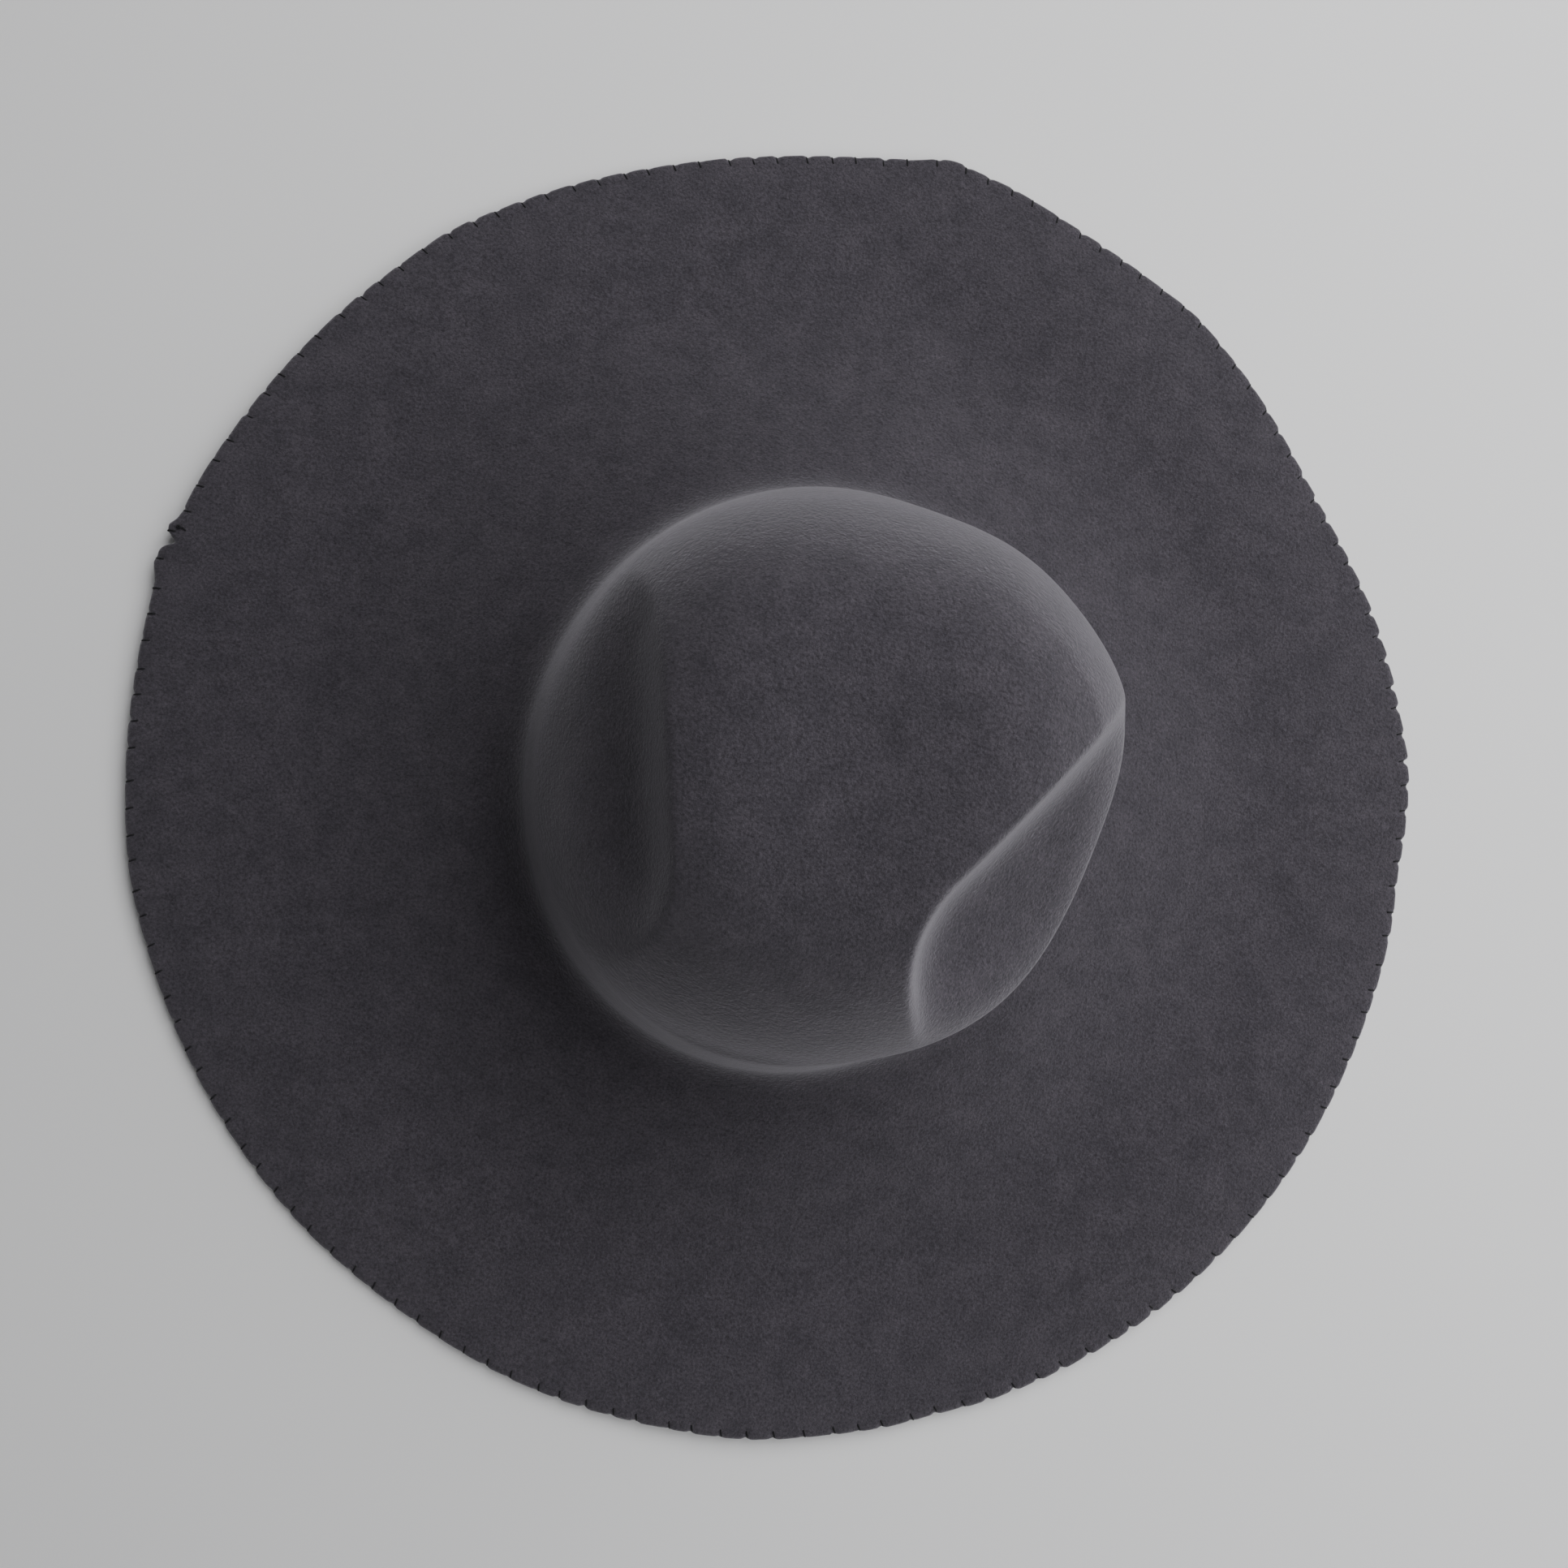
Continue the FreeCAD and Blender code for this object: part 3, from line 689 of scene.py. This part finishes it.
@dataclass(frozen=True)
class WovenFinish:
    """Ribbed ribbon or tape: fine ribs across, a softer weave along."""

    name: str
    colour: tuple[float, float, float]
    ribs: float = 900.0
    gloss: float = 0.4

    def build(self) -> bpy.types.Material:
        """Makes the material."""
        chain = NodeChain(self.name)
        wave = chain.tree.nodes.new("ShaderNodeTexWave")
        wave.bands_direction = "X"
        wave.inputs["Scale"].default_value = self.ribs
        wave.inputs["Distortion"].default_value = 0.6
        chain.link(chain.place, wave.inputs["Vector"])
        pale = tuple(min(part * 1.7, 1.0) for part in self.colour)
        ribs = chain.ramp(wave.outputs["Fac"], [(0.2, self.colour), (0.9, pale)])
        lint = chain.ramp(chain.noise(500.0), [(0.3, grey(0.85)), (0.8, grey(1.15))])
        normal = chain.bump(wave.outputs["Fac"], 0.6, 0.2 * MM)
        return chain.finish(chain.blend(ribs, lint), normal, 0.7, self.gloss)


# ------------------------------------------------------------------ mesh helpers

class Slot(Enum):
    """Names of material slots, passed along with each new piece."""

    FELT = "felt"
    THREAD = "thread"
    RIBBON = "ribbon"


def add_piece(name: str, mesh: bmesh.types.BMesh, material: bpy.types.Material, slot: Slot,
              stands_for: str) -> bpy.types.Object:
    """Turns a finished bmesh into a piece of the hat.

    Args:
        name: The piece's name.
        mesh: Its shape, in place; it is freed here.
        material: Its finish.
        slot: The material slot that it belongs to; not used.
        stands_for: The CAD node that it replaces.

    Returns:
        The new object.
    """
    bmesh.ops.recalc_face_normals(mesh, faces=mesh.faces[:])
    data = bpy.data.meshes.new(name)
    mesh.to_mesh(data)
    mesh.free()
    data.shade_smooth()
    data.materials.append(material)
    piece = bpy.data.objects.new(name, data)
    bpy.context.scene.collection.objects.link(piece)
    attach(piece, "root")
    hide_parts(stands_for)
    LOG.info("%s: %d faces", name, len(data.polygons))
    return piece


def ring_edges(ring: list[bmesh.types.BMVert]) -> list[bmesh.types.BMEdge]:
    """The edges of a lone ring of points, each once."""
    return list(dict.fromkeys(edge for vertex in ring for edge in vertex.link_edges))


def split_extruded(geometry: list) -> tuple[list[bmesh.types.BMVert], list[bmesh.types.BMEdge]]:
    """The new ring of an extrusion: its points and the edges that run between them."""
    points = [part for part in geometry if isinstance(part, bmesh.types.BMVert)]
    ring = set(points)
    edges = [part for part in geometry if isinstance(part, bmesh.types.BMEdge)
             and part.verts[0] in ring and part.verts[1] in ring]
    return points, edges


class RingSkin:
    """A skin grown ring by ring: each new ring is extruded from the last one and then shaped."""

    def __init__(self, mesh: bmesh.types.BMesh, count: int,
                 shape: Callable[[float], Vector]) -> None:
        """Starts with one ring of a given number of points, each placed by its direction."""
        self.mesh = mesh
        self.order = mesh.verts.layers.int.get("order") or mesh.verts.layers.int.new("order")
        self.count = count
        made = bmesh.ops.create_circle(mesh, cap_ends=False, segments=count, radius=1.0)
        for index, vertex in enumerate(made["verts"]):
            vertex[self.order] = index
            vertex.co = shape(FULL_TURN * index / count)
        self.edges = ring_edges(made["verts"])

    def grow(self, shape: Callable[[float], Vector]) -> None:
        """Extrudes the last ring and places the new points."""
        made = bmesh.ops.extrude_edge_only(self.mesh, edges=self.edges)["geom"]
        ring, self.edges = split_extruded(made)
        for vertex in ring:
            vertex.co = shape(FULL_TURN * vertex[self.order] / self.count)

    def close(self, tip: Vector) -> None:
        """Closes the last ring with a fan of faces round one point."""
        made = bmesh.ops.extrude_edge_only(self.mesh, edges=self.edges)["geom"]
        bmesh.ops.pointmerge(self.mesh, verts=split_extruded(made)[0], merge_co=tip)


def tube_along(mesh: bmesh.types.BMesh, points: list[Vector], radius: float, sides: int,
               closed: bool) -> None:
    """Adds a round thread along points: a circle extruded from point to point.

    Args:
        mesh: Where the thread is added.
        points: The middle line.
        radius: Half the thread's thickness.
        sides: Points of its round section.
        closed: Whether the thread runs back into its start.
    """
    count = len(points)
    first_edges: list[bmesh.types.BMEdge] = []
    edges: list[bmesh.types.BMEdge] = []
    for index, point in enumerate(points):
        before = points[index - 1] if index or closed else point
        after = points[(index + 1) % count] if index < count - 1 or closed else point
        along = (after - before).normalized()
        side = along.orthogonal() if index == 0 else side - along * side.dot(along)
        side.normalize()
        turn = Matrix((side, along.cross(side), along)).transposed().to_4x4()
        place = Matrix.Translation(point) @ turn
        if index == 0:
            made = bmesh.ops.create_circle(mesh, cap_ends=False, segments=sides, radius=radius)
            ring = made["verts"]
            edges = ring_edges(ring)
            first_edges = edges
        else:
            geometry = bmesh.ops.extrude_edge_only(mesh, edges=edges)["geom"]
            ring, edges = split_extruded(geometry)
            bmesh.ops.transform(mesh, matrix=last_place.inverted(), verts=ring)
        bmesh.ops.transform(mesh, matrix=place, verts=ring)
        last_place = place
    if closed:
        bmesh.ops.bridge_loops(mesh, edges=first_edges + edges)
    else:
        bmesh.ops.edgeloop_fill(mesh, edges=first_edges)
        bmesh.ops.edgeloop_fill(mesh, edges=edges)


# ------------------------------------------------------------------ the pieces

@dataclass
class Hood:
    """Crown and brim, blocked from one piece of felt.

    Attributes:
        form: The upper skin's formula.
        stitching: The wraps that pinch the brim's edge.
        crown_points: Points of one ring of crown and brim.
        edge_points: Points of one ring at the pinched edge.
        top_rings: Rings from the middle of the top to the shoulder's foot.
        wall_rings: Rings of the crown's wall.
        break_rings: Rings of the rounding between crown and brim.
        brim_rings: Rings of the brim's upper side.
        under_rings: Rings of the brim's lower side.
        inner_break_rings: Rings of the rounding, inside.
        inner_wall_rings: Rings of the wall, inside.
        inner_rings: Rings of the top, inside.
        edge_strip: Width of the finely divided strip at the edge.
        edge_insets: Places of that strip's rings from its inner side out, as shares of it.
        lower_insets: Places of its rings on the lower side, from the edge in.
        edge_turns: Directions of the edge's round, in degrees above level.
        outer_tip: Place of the top's middle point, where directions still differ.
        inner_tip: Place of the lower skin's middle point.
        inner_ridge: Rounding of the ridges on the lower skin.
        lower_form: The formula that the lower skin follows inside the crown.
    """

    form: FeltForm
    stitching: EdgeStitching
    crown_points: int = 360
    edge_points: int = 1800
    top_rings: int = 84
    wall_rings: int = 10
    break_rings: int = 8
    brim_rings: int = 30
    under_rings: int = 12
    inner_break_rings: int = 6
    inner_wall_rings: int = 5
    inner_rings: int = 24
    edge_strip: float = 11.0 * MM
    edge_insets: tuple[float, ...] = (0.9, 0.66, 0.46, 0.34, 0.25)
    lower_insets: tuple[float, ...] = (0.25, 0.46, 0.9)
    edge_turns: tuple[float, ...] = (75.0, 45.0, 15.0, -15.0, -45.0, -75.0)
    outer_tip: float = 0.0005
    inner_tip: float = 0.004
    inner_ridge: float = 8.0 * MM
    lower_form: FeltForm = field(init=False)

    def __post_init__(self) -> None:
        """Makes the lower skin's form, whose ridges are rounder than the upper skin's."""
        rounder = tuple(replace(dent, edge=self.inner_ridge) for dent in self.form.dents)
        self.lower_form = replace(self.form, dents=rounder)

    def inner(self, place: float, angle: float) -> Vector:
        """A point of the lower skin, the felt's thickness under the upper one."""
        form = self.lower_form if place < 2.0 else self.form
        point = form.skin(place, angle) - form.normal(place, angle) * form.thick
        return Vector((point.x, point.y, max(point.z, 0.0)))

    def edge_point(self, angle: float, inward: float, height: float) -> Vector:
        """A point near the brim's edge, pinched by the wraps of thread.

        Args:
            angle: Direction, in radians.
            inward: Distance in from the edge.
            height: From -1 on the lower skin to 1 on the upper one.

        Returns:
            The point, in metres.
        """
        form = self.form
        radius = form.edge_radius(angle)
        outward = 1.0 - inward / form.brim_width
        upper = form.brim(angle, outward)
        near_edge = math.exp(-(inward / self.stitching.depth) ** 2)
        pinch = self.stitching.pinch(angle, radius) * near_edge
        thinned = self.stitching.squeeze * min(pinch, self.stitching.most_pinch)
        half = form.thick / 2.0 * (1.0 - thinned)
        middle = upper.z - form.thick / 2.0
        reach_in = self.stitching.notch * pinch - self.stitching.lobe(angle) * near_edge
        shrink = 1.0 - reach_in / radius
        return Vector((upper.x * shrink, upper.y * shrink, middle + height * half))

    def rounded_edge(self, skin: RingSkin) -> None:
        """Grows the edge's round from the upper skin to the lower one."""
        half = self.form.thick / 2.0
        for degrees in self.edge_turns:
            turn = math.radians(degrees)
            inward = half * (1.0 - math.cos(turn))
            height = math.sin(turn)
            skin.grow(lambda a, i=inward, h=height: self.edge_point(a, i, h))

    def build(self, material: bpy.types.Material) -> bpy.types.Object:
        """Builds the hood as one closed felt skin."""
        form = self.form
        mesh = bmesh.new()
        last = 4.0 - self.edge_strip / form.brim_width
        outer = RingSkin(mesh, self.crown_points, lambda a: form.skin(1.0 / self.top_rings, a))
        top = list(outer.edges)
        places = [step / self.top_rings for step in range(2, self.top_rings + 1)]
        places += stations(1.0, 2.0, self.wall_rings)
        places += stations(2.0, 3.0, self.break_rings)
        places += stations(3.0, last, self.brim_rings)
        for place in places:
            outer.grow(lambda a, p=place: form.skin(p, a))

        widths = [self.edge_strip * inset for inset in self.edge_insets]
        edge = RingSkin(mesh, self.edge_points, lambda a: self.edge_point(a, widths[0], 1.0))
        edge_start = list(edge.edges)
        for width in widths[1:]:
            edge.grow(lambda a, w=width: self.edge_point(a, w, 1.0))
        self.rounded_edge(edge)
        for inset in self.lower_insets:
            edge.grow(lambda a, w=self.edge_strip * inset: self.edge_point(a, w, -1.0))

        under = RingSkin(mesh, self.crown_points, lambda a: self.inner(last, a))
        bmesh.ops.bridge_loops(mesh, edges=outer.edges + edge_start)
        bmesh.ops.bridge_loops(mesh, edges=edge.edges + under.edges)
        places = stations(last, 3.0, self.under_rings)
        places += stations(3.0, 2.0, self.inner_break_rings)
        places += stations(2.0, 1.0, self.inner_wall_rings)
        places += stations(1.0, 0.0, self.inner_rings)[:-1]
        for place in places:
            under.grow(lambda a, p=place: self.inner(p, a))
        under.close(self.inner(self.inner_tip, 0.0))
        outer.edges = top
        outer.close(form.skin(self.outer_tip, 0.0))
        return add_piece("hood", mesh, material, Slot.FELT, "felt_hood")


@dataclass
class EdgeThread:
    """The thread wrapped round the brim's edge, and the knot it ends in.

    Attributes:
        hood: The felt that it is sewn to.
        radius: Half the thread's thickness.
        proud: How far it stands off the felt.
        lean: How far one wrap slants along the edge.
        sides: Points of its round section.
        knot_inset: Distance of the knot from the edge.
        coil_width: Half of a turn of the knot, one way.
        coil_depth: Half of it, the other way.
        coil_rise: Height of the knot's two turns.
        coil_points: Points of one turn.
        tail_step: Distance between points of the cut tail.
        tail_bend: How far the tail bends sideways.
        tail_drop: How far it falls from point to point.
    """

    hood: Hood
    radius: float = 0.27 * MM
    proud: float = 0.12 * MM
    lean: float = 0.6 * MM
    sides: int = 6
    knot_inset: float = 3.6 * MM
    coil_width: float = 0.42 * MM
    coil_depth: float = 0.36 * MM
    coil_rise: float = 0.55 * MM
    coil_points: int = 11
    tail_step: float = 0.42 * MM
    tail_bend: float = 0.3 * MM
    tail_drop: float = 0.13 * MM

    def wrap(self, index: int) -> list[Vector]:
        """The middle line of one wrap: up through its hole, over the edge and back below."""
        stitching = self.hood.stitching
        angle, inset = stitching.angle(index), stitching.inset
        over = [(inset, 0.75), (inset * 0.92, 1.0), (inset * 0.6, 1.0), (1.0 * MM, 0.98),
                (0.35 * MM, 0.7)]
        back = [(inward, -height) for inward, height in reversed(over)]
        middle = self.hood.edge_point(angle, inset, 0.0)
        points = []
        for inward, height in [(inset, 0.0), *over, (0.0, 0.0), *back]:
            base = self.hood.edge_point(angle, inward, height)
            if inward < inset:
                base = base + (base - middle).normalized() * self.proud
            slip = self.lean * (1.0 - inward / inset) / base.xy.length
            turned = Matrix.Rotation(slip, 3, "Z") @ base
            points.append(Vector((turned.x, turned.y, max(turned.z, self.radius))))
        return points

    def build(self, material: bpy.types.Material) -> bpy.types.Object:
        """Builds every wrap as one piece."""
        mesh = bmesh.new()
        for index in range(self.hood.stitching.count):
            tube_along(mesh, self.wrap(index), self.radius, self.sides, closed=True)
        return add_piece("edge_thread", mesh, material, Slot.THREAD, "edge_whipstitch")

    def build_knot(self, material: bpy.types.Material) -> bpy.types.Object:
        """Builds the tied end: two small turns of thread and a cut tail."""
        form = self.hood.form
        low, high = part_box("edge_thread_knot")
        angle = math.atan2(low[1] + high[1], low[0] + high[0])
        reach = form.edge_radius(angle) - self.knot_inset
        top = form.brim(angle, 1.0 - self.knot_inset / form.brim_width).z
        middle = Vector((reach * math.cos(angle), reach * math.sin(angle), top + 0.1 * MM))
        coil = []
        for step in range(2 * self.coil_points):
            turn = FULL_TURN * step / self.coil_points
            coil.append(middle + Vector((self.coil_width * math.cos(turn),
                                         self.coil_depth * math.sin(turn),
                                         self.coil_rise * step / (2 * self.coil_points))))
        tail = [coil[-1] + Vector((self.tail_step * step, self.tail_bend * math.sin(step * 0.9),
                                   -self.tail_drop * min(step, 4))) for step in range(1, 6)]
        mesh = bmesh.new()
        tube_along(mesh, coil + tail, self.radius, self.sides, closed=False)
        return add_piece("edge_knot", mesh, material, Slot.THREAD, "edge_thread_knot")


@dataclass
class RearBow:
    """The small ribbon bow that covers the join of the sweatband, sewn on by its knot.

    Attributes:
        lean: Slope of the band that it lies against.
        ribbon: The ribbon's thickness.
        puff: Half the thickness of one loop where it is widest.
        neck: Share of the ribbon's width that is left at the knot.
        half_width: Half the ribbon's width.
        loop_start: Distance from the middle where a loop leaves the knot.
        curl: How far a loop's sides curl away from each other.
        crease: Depth of the knot's creases, as a share of its size.
        knot_depth: Half the knot's thickness off the band.
        knot_height: Half the knot's height.
        loop_points: Points of one ring of a loop.
        loop_rings: Rings across the ribbon's width.
        knot_points: Points of one ring of the knot.
        knot_rings: Rings from the knot's lower end to its upper one.
    """

    lean: float = 0.20
    ribbon: float = 0.32 * MM
    puff: float = 0.75 * MM
    neck: float = 0.60
    half_width: float = 4.0 * MM
    loop_start: float = 0.9 * MM
    curl: float = 0.22 * MM
    crease: float = 0.05
    knot_depth: float = 1.15 * MM
    knot_height: float = 3.05 * MM
    loop_points: int = 40
    loop_rings: int = 8
    knot_points: int = 28
    knot_rings: int = 12

    def place(self, middle: Vector, along: float, off: float, lift: float) -> Vector:
        """A point near the band.

        Args:
            middle: The middle of the piece.
            along: Distance along the band.
            off: Distance off the band, towards the head.
            lift: Distance up the band.

        Returns:
            The point, in metres.
        """
        upward = Vector((0.0, -self.lean, 1.0)).normalized()
        inward = Vector((0.0, -1.0, -self.lean)).normalized()
        return middle + Vector((along, 0.0, 0.0)) + inward * off + upward * lift

    def build_loops(self, material: bpy.types.Material) -> bpy.types.Object:
        """Builds both loops from one width of ribbon each."""
        low, high = (Vector(corner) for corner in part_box("rear_bow_loops"))
        middle, size = (low + high) / 2.0, high - low
        reach = size.x / 2.0
        mesh = bmesh.new()
        for side in (-1.0, 1.0):
            def row(share: float, side: float = side) -> Callable[[float], Vector]:
                """One ring of a loop, from -1 at the ribbon's lower edge to 1 at its upper one."""
                def shape(angle: float) -> Vector:
                    """A point of the ring."""
                    out = 0.5 * (1.0 - math.cos(angle))
                    along = side * (self.loop_start + (reach - self.loop_start) * out)
                    off = self.puff * math.sin(angle) * (0.3 + 0.7 * out)
                    wide = self.neck + (1.0 - self.neck) * smooth_step(out / 0.45)
                    curl = math.copysign(self.curl * (1.0 - share * share), math.sin(angle))
                    return self.place(middle, along, off + curl * out,
                                      share * self.half_width * wide)
                return shape
            loop = RingSkin(mesh, self.loop_points, row(-1.0))
            for share in stations(-1.0, 1.0, self.loop_rings):
                loop.grow(row(share))
        bmesh.ops.recalc_face_normals(mesh, faces=mesh.faces[:])
        bmesh.ops.solidify(mesh, geom=mesh.faces[:], thickness=self.ribbon)
        return add_piece("bow_loops", mesh, material, Slot.RIBBON, "rear_bow_loops")

    def build_knot(self, material: bpy.types.Material) -> bpy.types.Object:
        """Builds the knot: ribbon pulled tight round the middle, with creases."""
        low, high = (Vector(corner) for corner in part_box("rear_bow_knot"))
        middle, size = (low + high) / 2.0, high - low
        mesh = bmesh.new()

        def row(share: float) -> Callable[[float], Vector]:
            """One ring of the knot, from -1 at its lower end to 1 at its upper one."""
            full = (1.0 - abs(share) ** 4) ** 0.5

            def shape(angle: float) -> Vector:
                """A point of the ring."""
                crease = 1.0 + self.crease * math.cos(5.0 * angle + 6.0 * share)
                wide = (0.82 + 0.18 * full) * crease
                along = size.x * 0.46 * math.copysign(abs(math.cos(angle)) ** 0.7, math.cos(angle))
                off = self.knot_depth * math.copysign(abs(math.sin(angle)) ** 0.8, math.sin(angle))
                return self.place(middle, along * wide, off * max(full, 0.35) * crease,
                                  share * self.knot_height)
            return shape

        knot = RingSkin(mesh, self.knot_points, row(-1.0))
        first = list(knot.edges)
        for share in stations(-1.0, 1.0, self.knot_rings):
            knot.grow(row(share))
        cap = self.knot_height + 0.03 * MM
        knot.close(self.place(middle, 0.0, 0.0, cap))
        knot.edges = first
        knot.close(self.place(middle, 0.0, 0.0, -cap))
        return add_piece("bow_knot", mesh, material, Slot.RIBBON, "rear_bow_knot")


@dataclass(frozen=True)
class InnerBand:
    """The sweatband and what is sewn or glued to it: the frame's own shapes, only finished here.

    Attributes:
        leather: The band's finish.
        reed: Finish of the roll at its lower edge.
        sewing: Finish of the thread that holds band and bow.
        tab_sewing: Finish of the size tab's thread.
        tape: Finish of the tape behind the join.
        tab: Finish of the size tab.
    """

    leather: LeatherFinish = LeatherFinish("sweatband_leather", (0.022, 0.018, 0.017),
                                           (0.040, 0.033, 0.030))
    reed: LeatherFinish = LeatherFinish("reed_leather", (0.028, 0.023, 0.021),
                                        (0.050, 0.042, 0.038))
    sewing: ThreadFinish = ThreadFinish("band_sewing_thread", (0.05, 0.046, 0.05))
    tab_sewing: ThreadFinish = ThreadFinish("tab_sewing_thread", (0.10, 0.095, 0.09))
    tape: WovenFinish = WovenFinish("join_tape_weave", (0.020, 0.018, 0.020), 1400.0)
    tab: WovenFinish = WovenFinish("tab_weave", (0.55, 0.53, 0.49), 2200.0, 0.2)

    def dress(self, nodes: dict[str, bpy.types.Object]) -> None:
        """Gives each of the frame's own pieces one finish all over."""
        finished = (
            (self.leather, ("sweatband",)),
            (self.reed, ("sweatband_reed",)),
            (self.sewing, ("sweatband_stitches", "rear_bow_tack")),
            (self.tab_sewing, ("size_tab_stitches",)),
            (self.tape, ("band_join_tape",)),
            (self.tab, ("size_tab",)),
        )
        for finish, names in finished:
            material = finish.build()
            for name in names:
                nodes[name].data.materials.clear()
                nodes[name].data.materials.append(material)
                LOG.info("%s: %s", name, finish.name)


# ------------------------------------------------------------------ light, camera and floor

@dataclass(frozen=True)
class Softbox:
    """A square soft light that faces the hat.

    Attributes:
        name: Its name.
        turn: Its direction round the hat in degrees, 0 at the camera's right.
        height: Its angle above the floor in degrees.
        power: Its power in watts.
        size: Length of its side, in metres.
        away: Distance from the hat, in metres.
    """

    name: str
    turn: float
    height: float
    power: float
    size: float = 0.9
    away: float = 1.15

    def build(self, room_turn: Matrix) -> None:
        """Adds the light to the scene."""
        turn, height = math.radians(self.turn), math.radians(self.height)
        level = math.cos(height)
        towards = Vector((math.cos(turn) * level, math.sin(turn) * level, math.sin(height)))
        where = room_turn @ towards * self.away
        lamp = bpy.data.lights.new(self.name, "AREA")
        lamp.energy = self.power
        lamp.size = self.size
        light = bpy.data.objects.new(self.name, lamp)
        bpy.context.scene.collection.objects.link(light)
        aim = (Vector((0.0, 0.0, 0.05)) - where).to_track_quat("-Z", "Y")
        light.matrix_world = Matrix.Translation(where) @ aim.to_matrix().to_4x4()


@dataclass(frozen=True)
class Stage:
    """The room around the hat: camera, soft lights and a plain floor.

    Attributes:
        turn: How far camera and lights are turned round the hat, in degrees.
        tilt: How far the camera leans from straight above, to its left and down, in degrees.
        target: The point of the floor that it looks at.
        distance: Its distance from that point.
        lens: Its focal length in millimetres.
        sensor: Width of its sensor in millimetres.
        softboxes: The lights.
        room_light: Strength of the light from all sides.
        floor_colour: The floor's linear colour.
        floor_size: Half the floor's side.
    """

    turn: float = 17.0
    tilt: tuple[float, float] = (5.3, 2.4)
    target: tuple[float, float, float] = (-0.0019, -0.0005, 0.0)
    distance: float = 0.50
    lens: float = 34.66
    sensor: float = 36.0
    softboxes: tuple[Softbox, ...] = (
        Softbox("key", 55.0, 50.0, 10.4),
        Softbox("side", 4.0, 25.0, 5.0),
        Softbox("fill", -40.0, 46.0, 4.4),
    )
    room_light: float = 0.10
    floor_colour: tuple[float, float, float, float] = (0.93, 0.93, 0.94, 1.0)
    floor_size: float = 3.0

    def place_camera(self, room_turn: Matrix) -> None:
        """Adds the camera above the hat."""
        tilt_x, tilt_y = (math.radians(degrees) for degrees in self.tilt)
        back = Vector((-math.sin(tilt_x) * math.cos(tilt_y), -math.sin(tilt_y),
                       math.cos(tilt_x) * math.cos(tilt_y)))
        right = Vector((0.0, 1.0, 0.0)).cross(back).normalized()
        up = back.cross(right)
        data = bpy.data.cameras.new("camera")
        data.lens = self.lens
        data.sensor_width = self.sensor
        data.clip_start = 0.01
        camera = bpy.data.objects.new("camera", data)
        bpy.context.scene.collection.objects.link(camera)
        turn = Matrix((room_turn @ right, room_turn @ up, room_turn @ back)).transposed()
        where = room_turn @ (Vector(self.target) + back * self.distance)
        camera.matrix_world = Matrix.Translation(where) @ turn.to_4x4()
        bpy.context.scene.camera = camera

    def add_room_light(self) -> None:
        """Adds the even light from all sides."""
        world = bpy.data.worlds.new("soft_room")
        world.use_nodes = True
        background = world.node_tree.nodes["Background"]
        background.inputs["Color"].default_value = (1.0, 1.0, 1.0, 1.0)
        background.inputs["Strength"].default_value = self.room_light
        bpy.context.scene.world = world

    def build_floor(self) -> None:
        """Adds the plain pale floor."""
        mesh = bmesh.new()
        bmesh.ops.create_grid(mesh, x_segments=1, y_segments=1, size=self.floor_size)
        data = bpy.data.meshes.new("floor")
        mesh.to_mesh(data)
        mesh.free()
        floor = bpy.data.objects.new("floor", data)
        bpy.context.scene.collection.objects.link(floor)
        material = bpy.data.materials.new("pale_floor")
        material.use_nodes = True
        shader = material.node_tree.nodes["Principled BSDF"]
        shader.inputs["Base Color"].default_value = self.floor_colour
        shader.inputs["Roughness"].default_value = 0.9
        data.materials.append(material)

    def build(self) -> None:
        """Builds the whole stage."""
        room_turn = Matrix.Rotation(math.radians(self.turn), 3, "Z")
        self.build_floor()
        self.place_camera(room_turn)
        self.add_room_light()
        for softbox in self.softboxes:
            softbox.build(room_turn)


def main() -> None:
    """Builds the hat's pieces in order, then the stage."""
    logging.basicConfig(level=logging.INFO, format="%(name)s %(message)s")
    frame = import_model()
    felt = FeltFinish().build()
    black_thread = ThreadFinish("edge_thread_finish", (0.006, 0.006, 0.007)).build()
    hood = Hood(FeltForm(), EdgeStitching())
    hood.build(felt)
    edge = EdgeThread(hood)
    edge.build(black_thread)
    edge.build_knot(black_thread)
    InnerBand().dress(frame["nodes"])
    ribbon = WovenFinish("bow_ribbon", (0.014, 0.013, 0.015)).build()
    bow = RearBow()
    bow.build_loops(ribbon)
    bow.build_knot(ribbon)
    Stage().build()


if __name__ == "__main__":
    main()
